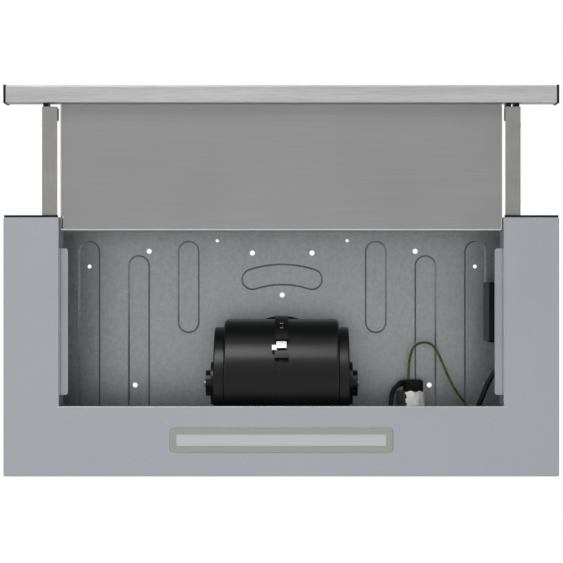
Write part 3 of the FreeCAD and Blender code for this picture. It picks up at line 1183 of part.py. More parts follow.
def capacitor_wrap():
    """White sleeve round the right-hand part of the capacitor."""
    y0, y1 = CAPACITOR_FRONT, SADDLE_FRONT - SADDLE_GAP
    inner, outer = CAPACITOR_RADIUS, CAPACITOR_RADIUS + WRAP_THICKNESS
    low, high = WRAP_ANGLES
    outline = [arc(CAPACITOR_X, CAPACITOR_Z, outer, low, high),
               (polar(CAPACITOR_X, CAPACITOR_Z, outer, high), polar(CAPACITOR_X, CAPACITOR_Z, inner, high)),
               arc(CAPACITOR_X, CAPACITOR_Z, inner, high, low),
               (polar(CAPACITOR_X, CAPACITOR_Z, inner, low), polar(CAPACITOR_X, CAPACITOR_Z, outer, low))]
    return prism(outline, at_xz(y0), (0, y1 - y0, 0))


def capacitor_saddle():
    """Clamp ring that hangs the capacitor from the roof."""
    y0, y1 = SADDLE_FRONT, SADDLE_FRONT + SADDLE_WIDTH
    x, z = CAPACITOR_X, CAPACITOR_Z
    ring = rod(CAPACITOR_RADIUS + SADDLE_SHEET, (x, y0, z), (x, y1, z))
    foot = box(x - SADDLE_FOOT / 2, x + SADDLE_FOOT / 2, y0, y1, ROOF_UNDER - SADDLE_SHEET, ROOF_UNDER)
    stem = box(x - SADDLE_STEM / 2, x + SADDLE_STEM / 2, y0, y1, z + CAPACITOR_RADIUS, ROOF_UNDER)
    saddle = ring.fuse([foot, stem])
    return saddle.cut(rod(CAPACITOR_RADIUS, (x, y0 - 1, z), (x, y1 + 1, z))).removeSplitter()


def cable_gland():
    """Strain relief in the rear wall; the mains lead ends in its inner face."""
    x, y, z = MAINS_ROUTE[-1]
    nut = rod(GLAND_NUT_RADIUS, (x, y, z), (x, BODY_REAR - SHEET, z))
    sleeve = rod(GLAND_RADIUS, (x, BODY_REAR - SHEET, z), (x, BODY_REAR, z))
    flange = rod(GLAND_NUT_RADIUS, (x, BODY_REAR, z), (x, BODY_REAR + GLAND_FLANGE, z))
    return nut.fuse([sleeve, flange]).removeSplitter()


def earth_terminal():
    """Ring terminal and screw on the rear wall, with the ferrule that holds the wire's end."""
    x, y, z = EARTH_ROUTE[-1]
    face = BODY_REAR - SHEET
    washer_radius, washer_height = EARTH_WASHER
    head_radius, head_height = EARTH_HEAD
    under_head = face - washer_height
    terminal = rod(EARTH_STUD_RADIUS, (x, under_head, z), (x, BODY_REAR, z))
    terminal = terminal.fuse([rod(washer_radius, (x, under_head, z), (x, face, z)),
                              rod(head_radius, (x, under_head - head_height, z), (x, under_head, z)),
                              rod(EARTH_FERRULE_RADIUS, (x, y, z), (x, under_head - head_height, z))])
    return terminal.removeSplitter()


def blower_screws():
    """Screws through roof, spigot flange and neck bosses, heads on top of the roof."""
    screws = []
    for x, y in outlet_screw_places():
        shank = rod(OUTLET_SCREW_RADIUS, (x, y, NECK_TOP - SCREW_GRIP), (x, y, BODY_HEIGHT))
        radius, height = OUTLET_SCREW_HEAD
        head = rod(radius, (x, y, BODY_HEIGHT), (x, y, BODY_HEIGHT + height))
        screws.append(shank.fuse(head))
    return screws


# ---- write every piece ---------------------------------------------------------------------------
def main():
    os.makedirs("parts", exist_ok=True)
    export("base_panel", base_panel())
    ledge = filter_ledge()
    export("filter_ledges", ledge, mirrored(ledge))
    seal = edge_seal()
    export("edge_seals", seal, mirrored(seal))

    side = side_panel()
    export("side_panel_right", side)
    export("side_panel_left", mirrored(side))
    export("front_panel", cross_panel(BODY_FRONT, 1, SLOT_HEIGHT))
    export("rear_panel", rear_panel())
    export("roof_plate", roof_plate())

    export("outlet_ring", outlet_ring())
    export("flap_pins", *flap_pins())
    rear_flap = flap()
    export("flap_rear", rear_flap)
    export("flap_front", rear_flap.mirror(Vector(0, 0, 0), Vector(0, 1, 0)))

    half = blower_half()
    export("blower_half_right", half)
    export("blower_half_left", mirrored(half))
    cover = inlet_cover()
    export("inlet_cover_right", cover)
    export("inlet_cover_left", mirrored(cover))
    export("housing_clip", housing_clip())
    export("blower_screws", *blower_screws())
    export("motor_axle", axle())
    bush = axle_bush()
    export("axle_bushes", bush, mirrored(bush))
    export("motor_stator", stator())
    export("rotor_can", rotor_can())
    export("rotor_bearings", rotor_bearing(-1), rotor_bearing(1))
    export("impeller", *impeller_wheel())
    export("impeller_blades", *impeller_blades())

    export("lamp_bezel", lamp_bezel())
    export("lamp_diffuser", lamp_diffuser())
    export("lamp_tray", lamp_tray())
    export("led_board", led_board())

    export("front_strip", front_strip())
    cap = end_cap()
    export("end_caps", cap, mirrored(cap))
    export("visor_panel", visor_panel())
    channel = runner()
    export("runner_right", channel)
    export("runner_left", mirrored(channel))
    outer_leg = (RUNNER_OUTER - SHEET - COUPLER_FOOT, RUNNER_OUTER - SHEET)
    inner_leg = (RUNNER_INNER + COUPLER_INSET, RUNNER_INNER + COUPLER_INSET + COUPLER_FOOT)
    export("runner_couplers", coupler([outer_leg, inner_leg]), mirrored(coupler([outer_leg])))
    moving = moving_slide()
    export("slide_moving_right", moving)
    export("slide_moving_left", mirrored(moving))
    rivets = runner_rivets()
    export("runner_rivets", *rivets, *[mirrored(rivet) for rivet in rivets])
    export("button_console", button_console())
    for number, x in enumerate(button_places(), start=1):
        export("button_" + str(number), button(x))

    fixed = fixed_slide()
    export("slide_fixed_right", fixed)
    export("slide_fixed_left", mirrored(fixed))
    screws = slide_screws()
    export("slide_screws", *screws, *[mirrored(screw) for screw in screws])
    cage = ball_cage()
    export("ball_cage_right", *cage)
    export("ball_cage_left", *[mirrored(piece) for piece in cage])

    control_base, control_cover = control_box()
    export("control_box_base", control_base)
    export("control_box_cover", control_cover)
    export("circuit_board", circuit_board())
    export("capacitor_can", capacitor_can())
    export("capacitor_boot", capacitor_boot())
    export("capacitor_wrap", capacitor_wrap())
    export("capacitor_saddle", capacitor_saddle())
    export("cable_gland", cable_gland())
    export("earth_terminal", earth_terminal())
    export("mains_lead", cord("mains_lead", MAINS_ROUTE, MAINS_DIAMETER))
    export("motor_lead", cord("motor_lead", LEAD_ROUTE, LEAD_DIAMETER))
    export("earth_wire", cord("earth_wire", EARTH_ROUTE, EARTH_DIAMETER))


main()
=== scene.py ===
import math
import random

import bpy
from mathutils import Matrix, Vector


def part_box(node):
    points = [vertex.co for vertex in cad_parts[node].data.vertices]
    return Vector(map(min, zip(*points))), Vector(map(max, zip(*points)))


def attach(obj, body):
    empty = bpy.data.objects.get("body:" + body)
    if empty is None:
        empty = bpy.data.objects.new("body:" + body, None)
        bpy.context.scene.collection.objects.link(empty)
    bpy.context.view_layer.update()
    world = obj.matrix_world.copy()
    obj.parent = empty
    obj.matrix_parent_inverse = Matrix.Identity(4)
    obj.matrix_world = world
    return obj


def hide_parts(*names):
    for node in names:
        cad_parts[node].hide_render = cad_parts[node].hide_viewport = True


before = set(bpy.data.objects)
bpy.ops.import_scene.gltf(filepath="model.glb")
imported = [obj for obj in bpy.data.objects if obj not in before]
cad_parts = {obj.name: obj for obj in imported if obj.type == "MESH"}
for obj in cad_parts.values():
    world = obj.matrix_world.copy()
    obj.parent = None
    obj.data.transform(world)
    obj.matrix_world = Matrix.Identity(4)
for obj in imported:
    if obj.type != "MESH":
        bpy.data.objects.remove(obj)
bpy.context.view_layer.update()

# ---- view ----
# The hood is seen from straight below, as if it hung over the camera, with its front at the top of the
# picture.  The camera stands 2.2 m below the painted underside, near the middle of the hood.
CAMERA_PLACE = (0.014, -0.1011, -2.369)
FRAME_WIDTH = 0.6056          # what the picture takes in at the underside
FRAME_DISTANCE = 2.2
SENSOR = 36.0
LENS_SHIFT = -0.0227          # the picture's middle lies a little off the camera's axis
FARTHEST = 60                 # what lies beyond is not drawn
camera_data = bpy.data.cameras.new("camera")
camera_data.sensor_width = SENSOR
camera_data.lens = SENSOR * FRAME_DISTANCE / FRAME_WIDTH
camera_data.shift_x = LENS_SHIFT
camera_data.clip_end = FARTHEST
camera = bpy.data.objects.new("camera", camera_data)
camera.location = CAMERA_PLACE
camera.rotation_euler = (math.pi, 0, 0)
bpy.context.scene.collection.objects.link(camera)
bpy.context.scene.camera = camera
bpy.context.scene.view_settings.view_transform = "Standard"

# ---- leads inside the hood ----
# Thin black sheathed lead from the capacitor to the motor, the mains lead from the control box to the
# gland in the rear wall, and the green and yellow earth wire.  They are PVC, with a slight sheen.


def shade(red, green, blue):
    """A colour as it is read off a screen, made linear."""
    channels = []
    for channel in (red, green, blue):
        part = channel / 255
        channels.append(part / 12.92 if part <= 0.04045 else ((part + 0.055) / 1.055) ** 2.4)
    return (*channels, 1.0)


class Value:
    """The output of a shader node, so that shader maths reads as Python."""

    def __init__(self, finish, socket):
        self.finish = finish
        self.socket = socket

    def maths(self, operation, first, second):
        return self.finish.node("Math", {"operation": operation}, [first, second])

    def __add__(self, other):
        return self.maths("ADD", self, other)

    def __rsub__(self, other):
        return self.maths("SUBTRACT", other, self)

    def __mul__(self, other):
        return self.maths("MULTIPLY", self, other)


class Finish:
    """A procedural finish on one principled shader."""

    def __init__(self, name, **constants):
        self.material = bpy.data.materials.new(name)
        self.material.use_nodes = True
        self.tree = self.material.node_tree
        self.shader = self.tree.nodes["Principled BSDF"]
        for socket, value in constants.items():
            self.feed(self.shader.inputs[socket.replace("_", " ")], value)

    def feed(self, socket, value):
        if isinstance(value, Value):
            self.tree.links.new(value.socket, socket)
        else:
            socket.default_value = value

    def node(self, kind, settings=(), inputs=(), output=0):
        node = self.tree.nodes.new("ShaderNode" + kind)
        for name, value in dict(settings).items():
            setattr(node, name, value)
        pairs = inputs.items() if isinstance(inputs, dict) else enumerate(inputs)
        for key, value in pairs:
            self.feed(node.inputs[key], value)
        return Value(self, node.outputs[output])

    def place(self, scale=(1, 1, 1), turn=(0, 0, 0)):
        """Object coordinates, stretched or turned."""
        point = self.node("TexCoord", output="Object")
        return self.node("Mapping", {}, {"Vector": point, "Scale": scale, "Rotation": turn})

    def noise(self, scale, detail=2.0, at=None, roughness=0.5):
        return self.node("TexNoise", {}, {"Vector": at or self.place(), "Scale": scale,
                                          "Detail": detail, "Roughness": roughness})

    def cells(self, scale, at=None):
        """A number from 0 to 1 that is the same over each cell."""
        colour = self.node("TexVoronoi", {}, {"Vector": at or self.place(), "Scale": scale}, "Color")
        return self.node("SeparateColor", {}, [colour])

    def span(self, value, low, high, start=0.0, end=1.0):
        """From low to high, as the value goes from start to end."""
        return self.node("MapRange", {}, [value, start, end, low, high])

    def blend(self, factor, first, second):
        return self.node("Mix", {"data_type": "RGBA"}, {0: factor, 6: first, 7: second}, 2)

    def surface(self, height=None, strength=0.2, depth=0.0005, **linked):
        """Feeds what varies into the shader's sockets, and a height into its bump."""
        for socket, value in linked.items():
            self.feed(self.shader.inputs[socket.replace("_", " ")], value)
        if height:
            bump = self.node("Bump", {}, {"Strength": strength, "Distance": depth, "Height": height})
            self.feed(self.shader.inputs["Normal"], bump)


def dress(finish, *names):
    """Gives a finish to CAD nodes, whose shapes stay as they are."""
    for name in names:
        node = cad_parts[name]
        node.data.materials.clear()
        node.data.materials.append(finish.material)


LEAD_ROUND_STEPS = 5
LEAD_LENGTH_STEPS = 16


def run_lead(name, route, diameter, finish):
    """A round lead along its route, inside the hood from end to end."""
    curve = bpy.data.curves.new(name + "_run", "CURVE")
    curve.dimensions = "3D"
    curve.bevel_depth = diameter / 2
    curve.bevel_resolution = LEAD_ROUND_STEPS
    curve.resolution_u = LEAD_LENGTH_STEPS
    curve.use_fill_caps = True
    spline = curve.splines.new("NURBS")
    spline.points.add(len(route) - 1)
    for point, place in zip(spline.points, route):
        point.co = (*place, 1)
    spline.order_u = 3
    spline.use_endpoint_u = True
    piece = bpy.data.objects.new(name + "_run", curve)
    bpy.context.scene.collection.objects.link(piece)
    curve.materials.append(finish.material)
    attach(piece, "hood")
    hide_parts(name)
    return piece


MOTOR_ROUTE = [
    (0.134, 0.0175, -0.021), (0.1258, 0.0225, -0.021), (0.1245, 0.0455, -0.029),
    (0.108, 0.0611, -0.0433), (0.08, 0.0611, -0.0433)]
EARTH_ROUTE = [
    (0.145, 0.0116, -0.023), (0.145, -0.012, -0.023), (0.1525, -0.0308, -0.026),
    (0.1725, -0.0318, -0.029), (0.1835, -0.008, -0.031), (0.194, 0.0175, -0.032),
    (0.211, 0.041, -0.034), (0.226, 0.067, -0.035), (0.226, 0.0985, -0.035)]
sheath = Finish("black_sheath", Specular_IOR_Level=0.25)
smear = sheath.noise(90, 3)
sheath.surface(
    height=smear, strength=0.1, depth=0.0003,
    Base_Color=sheath.blend(sheath.span(smear, 0, 1, 0.35, 0.7), shade(18, 18, 18), shade(30, 30, 30)),
    Roughness=sheath.span(smear, 0.38, 0.5))
dress(sheath, "mains_lead")
motor_lead = run_lead("motor_lead", MOTOR_ROUTE, 0.005, sheath)

earth_pvc = Finish("green_and_yellow_pvc", Specular_IOR_Level=0.3)
wrap = earth_pvc.noise(150, 2)
earth_pvc.surface(
    Base_Color=earth_pvc.blend(earth_pvc.span(wrap, 0, 1, 0.42, 0.58),
                               shade(66, 74, 24), shade(100, 98, 38)),
    Roughness=earth_pvc.span(wrap, 0.4, 0.5))
earth_wire = run_lead("earth_wire", EARTH_ROUTE, 0.0028, earth_pvc)

# ---- floor, lamps and daylight ----
# A pale floor that only shows from above, so that the hood can also be seen from below, and soft
# lamps: a broad one near the camera, a large one low in front, which is the only one that shiny faces
# mirror, and three more for the other views.  The sky is white for the camera and dim for the rest.
FLOOR_LEVEL = -0.1712
FLOOR_SIZE = 14
bpy.ops.object.select_all(action="DESELECT")
bpy.ops.mesh.primitive_plane_add(size=FLOOR_SIZE, location=(0, 0, FLOOR_LEVEL))
floor = bpy.context.object
floor.name = "floor"
pale = Finish("pale_floor", Roughness=0.9, Specular_IOR_Level=0.1)
grit = pale.noise(3, 3)
pale.surface(Base_Color=pale.blend(grit, shade(222, 222, 220), shade(232, 232, 230)))
clear = pale.node("BsdfTransparent")
ray = pale.node("LightPath", output="Is Camera Ray")
behind = pale.node("NewGeometry", output="Backfacing")
shown = ray * (1 - behind)
seen = pale.node("MixShader", {}, [shown, clear, Value(pale, pale.shader.outputs[0])])
pale.feed(pale.tree.nodes["Material Output"].inputs["Surface"], seen)
floor.data.materials.append(pale.material)

LAMPS = {                     # place, aim, width, height and power in watts
    "lamp_below": ((-0.1, 0.2, -2.42), (0, 0, 0), 1.5, 0.7, 36),
    "lamp_low_front": ((-0.6, -2.0, -1.4), (0, 0, -0.1), 1.4, 1.0, 17),
    "lamp_low_rear": ((0.0, 2.3, -1.15), (0, 0, -0.1), 1.6, 0.4, 8),
    "lamp_high_front": ((-0.9, -1.5, 2.1), (0, 0, -0.1), 1.6, 1.6, 26),
    "lamp_high_rear": ((1.3, 1.7, 1.6), (0, 0, -0.1), 1.6, 1.6, 18),
}
MIRRORED_LAMP = "lamp_low_front"
for name, (place, aim, width, height, power) in LAMPS.items():
    lamp_data = bpy.data.lights.new(name, "AREA")
    lamp_data.shape = "RECTANGLE"
    lamp_data.size = width
    lamp_data.size_y = height
    lamp_data.energy = power
    lamp = bpy.data.objects.new(name, lamp_data)
    lamp.location = place
    lamp.rotation_euler = (Vector(aim) - Vector(place)).to_track_quat("-Z", "Y").to_euler()
    lamp.visible_camera = False
    lamp.visible_glossy = name == MIRRORED_LAMP
    bpy.context.scene.collection.objects.link(lamp)

world = bpy.data.worlds.new("daylight")
bpy.context.scene.world = world
world.use_nodes = True
sky = world.node_tree.nodes["Background"]
sky.inputs["Color"].default_value = (1, 1, 1, 1)
path = world.node_tree.nodes.new("ShaderNodeLightPath")
level = sky.inputs["Strength"]
AMBIENT = 0.18                # what lights the hood from all round
WHITE = 1.0                   # behind the hood, for the camera
NADIR, HORIZON = 0.36, 0.95   # what a mirror would show, straight below and all round


def world_node(kind, operation, *inputs):
    """Adds one node to the world's shader, and gives its outputs."""
    node = world.node_tree.nodes.new("ShaderNode" + kind)
    if operation:
        node.operation = operation
    for socket, value in zip(node.inputs, inputs):
        if isinstance(value, (int, float)):
            socket.default_value = value
        else:
            world.node_tree.links.new(value, socket)
    return node.outputs


direction = world_node("TexCoord", None)["Generated"]
rise = world_node("Math", "ABSOLUTE", world_node("SeparateXYZ", None, direction)[2])[0]
mirrored = world_node("MapRange", None, rise, 0.0, 1.0, HORIZON, NADIR)[0]
in_mirrors = world_node("Math", "MULTIPLY", mirrored, path.outputs["Is Glossy Ray"])[0]
to_camera, through_glass = path.outputs["Is Camera Ray"], path.outputs["Is Transmission Ray"]
straight = world_node("Math", "MAXIMUM", to_camera, through_glass)[0]
shown_white = world_node("Math", "MULTIPLY", straight, WHITE)[0]
brighter = world_node("Math", "MAXIMUM", shown_white, in_mirrors)[0]
world.node_tree.links.new(world_node("Math", "MAXIMUM", brighter, AMBIENT)[0], level)

# ---- painted base ----
# The visible underside: one folded sheet in silver powder paint, with a turned-up rim, and the two
# folded ledges that the grease filters rest on, whose paint is a little darker as painted shade.  The
# paint has a fine orange peel and a metallic flake, and the rear fold of the opening carries a painted
# highlight.
paint = Finish("silver_powder_paint", Metallic=0.2, Coat_Weight=0.08, Coat_Roughness=0.3)
peel = paint.noise(420, 2)
flake = paint.cells(1700)
mottle = paint.noise(14, 3)
paint.surface(
    height=peel, strength=0.12, depth=0.0002,
    Base_Color=paint.blend(flake * 0.55 + mottle * 0.45, shade(160, 163, 169), shade(174, 177, 183)),
    Roughness=paint.span(peel, 0.42, 0.54))
# The ledges get the base's paint made darker: painted shade for the step that sets them back.
ledge_paint_with_shade = Finish("ledge_paint_with_painted_shade", Metallic=0.2)
grain = ledge_paint_with_shade.noise(420, 2)
patch = ledge_paint_with_shade.noise(30, 3)
ledge_paint_with_shade.surface(
    height=grain, strength=0.12, depth=0.0002,
    Base_Color=ledge_paint_with_shade.blend(patch, shade(148, 151, 157), shade(162, 165, 171)),
    Roughness=ledge_paint_with_shade.span(grain, 0.42, 0.54))
dress(ledge_paint_with_shade, "filter_ledges")

MERGED = 0.000002             # points closer than this are one
FLAT, SMOOTH = 0.5, 40        # degrees within which faces are one face, or one smooth surface
FOLD_SEGMENTS = 3


def softened(name, body, finish, width, angle=25):
    """Stands in for a CAD node: its mesh with doubles merged and its folds rounded."""
    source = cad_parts[name]
    piece = bpy.data.objects.new(name + "_formed", source.data.copy())
    bpy.context.scene.collection.objects.link(piece)
    bpy.ops.object.select_all(action="DESELECT")
    piece.select_set(True)
    bpy.context.view_layer.objects.active = piece
    bpy.ops.object.mode_set(mode="EDIT")
    bpy.ops.mesh.select_all(action="SELECT")
    bpy.ops.mesh.remove_doubles(threshold=MERGED)
    bpy.ops.mesh.dissolve_limited(angle_limit=math.radians(FLAT))
    bpy.ops.object.mode_set(mode="OBJECT")
    bevel = piece.modifiers.new("folds", "BEVEL")
    bevel.width = width
    bevel.segments = FOLD_SEGMENTS
    bevel.limit_method = "ANGLE"
    bevel.angle_limit = math.radians(angle)
    bpy.ops.object.modifier_apply(modifier="folds")
    bpy.ops.object.shade_smooth_by_angle(angle=math.radians(SMOOTH))
    flat = piece.modifiers.new("flat_faces", "WEIGHTED_NORMAL")
    flat.keep_sharp = True
    bpy.ops.object.modifier_apply(modifier="flat_faces")
    piece.data.materials.clear()
    piece.data.materials.append(finish.material)
    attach(piece, body)
    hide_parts(name)
    return piece


def give_painted_highlight(piece, finish, chosen):
    """Paints a highlight: a second material on the faces that the test picks by their middle and
    normal.
    """
    piece.data.materials.append(finish.material)
    for face in piece.data.polygons:
        if chosen(face.center, face.normal):
            face.material_index = 1


base = softened("base_panel", "hood", paint, width=0.0005)
# A painted highlight: a pale copy of the paint on the faces of the opening's rear fold.
glint = Finish("painted_highlight_on_folds", Metallic=0.2)
opening_fold_highlight_speckle = glint.noise(500, 2)
glint.surface(Base_Color=glint.blend(opening_fold_highlight_speckle, shade(222, 225, 230), shade(234, 236, 240)),
              Roughness=glint.span(opening_fold_highlight_speckle, 0.3, 0.4))
OPENING_REAR = 0.034          # y of the opening's rear fold
OPENING_HALF = 0.24           # half the opening's width
FOLD_REACH = 0.003            # how far a face may lie from the fold
FACES_DOWN, FACES_FRONT = -0.1, -0.25   # z and y of the normals, at most
give_painted_highlight(base, glint, lambda middle, normal: normal.z < FACES_DOWN and normal.y < FACES_FRONT
           and abs(middle.y - OPENING_REAR) < FOLD_REACH and abs(middle.x) < OPENING_HALF)

# ---- edge seals ----
# Black rubber strips pushed on to the front edges of the base, beside the visor, and the two bushes
# that hold the fan's axle.  The rubber is dull and picks up a little grey dust.
rubber = Finish("black_rubber", Specular_IOR_Level=0.25)
dust = rubber.noise(60, 4)
rubber.surface(
    height=rubber.noise(1500, 1), strength=0.2, depth=0.0002,
    Base_Color=rubber.blend(rubber.span(dust, 0, 1, 0.4, 0.8), shade(20, 20, 21), shade(34, 34, 35)),
    Roughness=rubber.span(dust, 0.62, 0.8))
dress(rubber, "edge_seals", "axle_bushes")

# ---- galvanised body ----
# Four walls and an embossed roof, pressed and folded from hot-dip galvanised sheet.  The zinc has
# crystals a few millimetres across, each at its own brightness, and faint rolling marks.  The roof is
# of shinier sheet than the walls, the lamp's tray and the capacitor's clamp ring.


def zinc_finish(name, metallic, dark, pale_shade, smoothest, roughest):
    """Galvanised sheet: crystals and finer feathers in them, clouds, and marks of the rolls."""
    finish = Finish(name, Metallic=metallic)
    crystal = finish.cells(330, finish.place((1.0, 0.8, 1.0), (0, 0, 0.5)))
    feather = finish.noise(700, 3)
    cloud = finish.noise(16, 3)
    rolled = finish.noise(60, 2, finish.place((1.0, 14.0, 14.0)))
    tone = crystal * 0.3 + feather * 0.4 + cloud * 0.15 + rolled * 0.15
    finish.surface(
        height=feather * 0.5 + crystal * 0.5, strength=0.05, depth=0.0003,
        Base_Color=finish.blend(finish.span(tone, 0, 1, 0.25, 0.75), dark, pale_shade),
        Roughness=finish.span(crystal, smoothest, roughest))
    return finish


roof_zinc = zinc_finish("pressed_zinc", 0.85, shade(190, 193, 195), shade(212, 215, 217), 0.28, 0.38)
wall_zinc = zinc_finish("galvanised_zinc", 0.4, shade(142, 145, 147), shade(162, 165, 167), 0.45, 0.58)
dress(wall_zinc, "side_panel_left", "side_panel_right", "front_panel", "rear_panel", "lamp_tray",
      "capacitor_saddle")
softened("roof_plate", "hood", roof_zinc, width=0.0007)

# ---- outlet spigot and flaps ----
# Moulded black ring for a 120 mm duct, screwed to the roof, with two hinged half-disc flaps.  It and
# the other small black mouldings share one satin plastic with a fine eroded texture.
plastic = Finish("black_moulded_plastic", Specular_IOR_Level=0.25)
erosion = plastic.noise(1900, 2)
handled = plastic.noise(22, 4)
plastic.surface(
    height=erosion, strength=0.18, depth=0.00015,
    Base_Color=plastic.blend(plastic.span(handled, 0, 1, 0.35, 0.75),
                             shade(16, 16, 17), shade(26, 26, 27)),
    Roughness=plastic.span(handled, 0.34, 0.48))
dress(plastic, "outlet_ring", "flap_front", "flap_rear", "end_caps",
      "runner_couplers", "control_box_base", "control_box_cover", "cable_gland")

# ---- blower housing ----
# Two half scrolls and two inlet covers in smooth black plastic, joined at a bead with a front lug, a
# clamp lug and a clip.  Long soft flow marks run from the gates, and the bead's lower edges carry a
# painted highlight.
glossy = Finish("smooth_scroll_plastic", Specular_IOR_Level=0.48)
flow = glossy.noise(9, 3, glossy.place((0.5, 2.0, 2.0)))
skin = glossy.noise(1300, 2)
glossy.surface(
    height=skin * 0.3 + flow, strength=0.1, depth=0.0004,
    Base_Color=glossy.blend(glossy.span(flow, 0, 1, 0.3, 0.7), shade(13, 13, 14), shade(20, 20, 21)),
    Roughness=glossy.span(flow, 0.24, 0.34))
dress(glossy, "inlet_cover_left", "inlet_cover_right")
# A painted highlight: pale grey on the rounded lower edges of the bead.
bead_edge_highlight = Finish("painted_highlight_on_bead")
bead_highlight_speckle = bead_edge_highlight.noise(300, 3)
bead_edge_highlight.surface(Base_Color=bead_edge_highlight.blend(bead_highlight_speckle, shade(64, 64, 66), shade(110, 110, 112)),
                  Roughness=bead_edge_highlight.span(bead_highlight_speckle, 0.3, 0.45))
BEAD_EDGE, BEAD_REACH = 0.002, 0.0006   # x of the bead's edge, and how far a face may lie from it
LOWER_SIDE = -0.1                       # z below which the bead's edges get the painted highlight
SLANT_LEAST, SLANT_MOST = 0.2, 0.97     # x of the normals of a rounded edge
for half in ("blower_half_left", "blower_half_right"):
    shell = softened(half, "hood", glossy, width=0.0004, angle=35)
    give_painted_highlight(shell, bead_edge_highlight, lambda middle, normal: abs(abs(middle.x) - BEAD_EDGE) < BEAD_REACH
               and SLANT_LEAST < abs(normal.x) < SLANT_MOST and middle.z < LOWER_SIDE)

# ---- joint pins of the blower ----
# Four short pins with domed heads, pressed through the front lug to hold the two halves together.
# Turned steel, a little dull.
FAN_AXIS = (0.0127, -0.076)   # y and z
LUG_RADIUS = 0.0754
PIN_ANGLES = (26.6, 33.7)     # below the horizontal, seen from the axis
PIN_SPREAD = 0.0011
PIN_RADIUS, PIN_HEIGHT = 0.0007, 0.0005
PIN_SIDES = 20
PIN_DOME = 0.3                # part of the radius and of the height that the dome takes
PIN_SMOOTH = 35               # degrees
pin_steel = Finish("turned_pin_steel", Metallic=0.4)
ring_marks = pin_steel.noise(600, 2)
pin_steel.surface(
    height=ring_marks, strength=0.1, depth=0.0001,
    Base_Color=pin_steel.blend(ring_marks, shade(150, 150, 148), shade(196, 196, 192)),
    Roughness=pin_steel.span(ring_marks, 0.3, 0.45))
pin_number = 0
for angle in PIN_ANGLES:
    for side in (-1, 1):
        pin_number += 1
        outward = Vector((0, -math.cos(math.radians(angle)), -math.sin(math.radians(angle))))
        seat = Vector((side * PIN_SPREAD, *FAN_AXIS)) + outward * LUG_RADIUS
        bpy.ops.object.select_all(action="DESELECT")
        bpy.ops.mesh.primitive_circle_add(vertices=PIN_SIDES, radius=PIN_RADIUS, fill_type="NGON")
        pin = bpy.context.object
        pin.name = "joint_pin_%d" % pin_number
        bpy.ops.object.mode_set(mode="EDIT")
        bpy.ops.mesh.select_all(action="SELECT")
        bpy.ops.mesh.extrude_region_move(TRANSFORM_OT_translate={"value": (0, 0, PIN_HEIGHT)})
        bpy.ops.mesh.inset(thickness=PIN_RADIUS * PIN_DOME, depth=PIN_HEIGHT * PIN_DOME)
        bpy.ops.mesh.select_all(action="SELECT")
        bpy.ops.mesh.normals_make_consistent(inside=False)
        bpy.ops.object.mode_set(mode="OBJECT")
        pin.data.transform(outward.to_track_quat("Z", "Y").to_matrix().to_4x4())
        pin.data.transform(Matrix.Translation(seat))
        bpy.ops.object.shade_smooth_by_angle(angle=math.radians(PIN_SMOOTH))
        pin.data.materials.append(pin_steel.material)
        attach(pin, "hood")

# ---- small bright steel parts ----
# Screws, flap pins, balls with their cages, the housing clip, the earth terminal, and the fan's axle,
# bearings and motor can: zinc-plated or plain steel, smooth, with fine scratches that run every way.
bright = Finish("bright_plated_steel", Metallic=0.85)
scuff = bright.noise(300, 3)
bright.surface(
    height=scuff, strength=0.08, depth=0.0002,
    Base_Color=bright.blend(bright.span(scuff, 0, 1, 0.3, 0.7),
                            shade(176, 176, 174), shade(206, 207, 206)),
    Roughness=bright.span(scuff, 0.24, 0.4))
dress(bright, "housing_clip", "blower_screws", "slide_screws", "flap_pins", "motor_axle",
      "rotor_bearings", "ball_cage_left", "ball_cage_right", "earth_terminal", "rotor_can")

# ---- fan wheel and motor ----
# Double-width wheel of forward-curved blades in dark plastic, pressed on to the motor's can.  The
# stator inside is a varnished core with copper-brown coil heads.
wheel = Finish("dark_wheel_plastic", Specular_IOR_Level=0.3)
grime = wheel.noise(70, 4)
wheel.surface(
    height=grime, strength=0.08, depth=0.0003,
    Base_Color=wheel.blend(wheel.span(grime, 0, 1, 0.4, 0.7), shade(28, 28, 29), shade(42, 42, 41)),
    Roughness=wheel.span(grime, 0.42, 0.55))
dress(wheel, "impeller", "impeller_blades")
varnish = Finish("varnished_winding")
turns = varnish.noise(40, 2, varnish.place((1.0, 30.0, 30.0)))
varnish.surface(
    height=turns, strength=0.3, depth=0.0004,
    Base_Color=varnish.blend(turns, shade(70, 48, 34), shade(128, 84, 52)),
    Roughness=varnish.span(turns, 0.34, 0.46))
dress(varnish, "motor_stator")

# ---- capacitor ----
# Dark grey can, hung from the roof by a clamp ring, with a soft black boot over its terminals.  A
# white plastic sleeve is wrapped round part of it; it is thin and crumpled, and its edge is torn.
can = Finish("grey_can_lacquer", Specular_IOR_Level=0.3)
film = can.noise(120, 3)
can.surface(
    height=film, strength=0.1, depth=0.0003,
    Base_Color=can.blend(film, shade(62, 63, 64), shade(84, 85, 86)),
    Roughness=can.span(film, 0.4, 0.55))
dress(can, "capacitor_can")
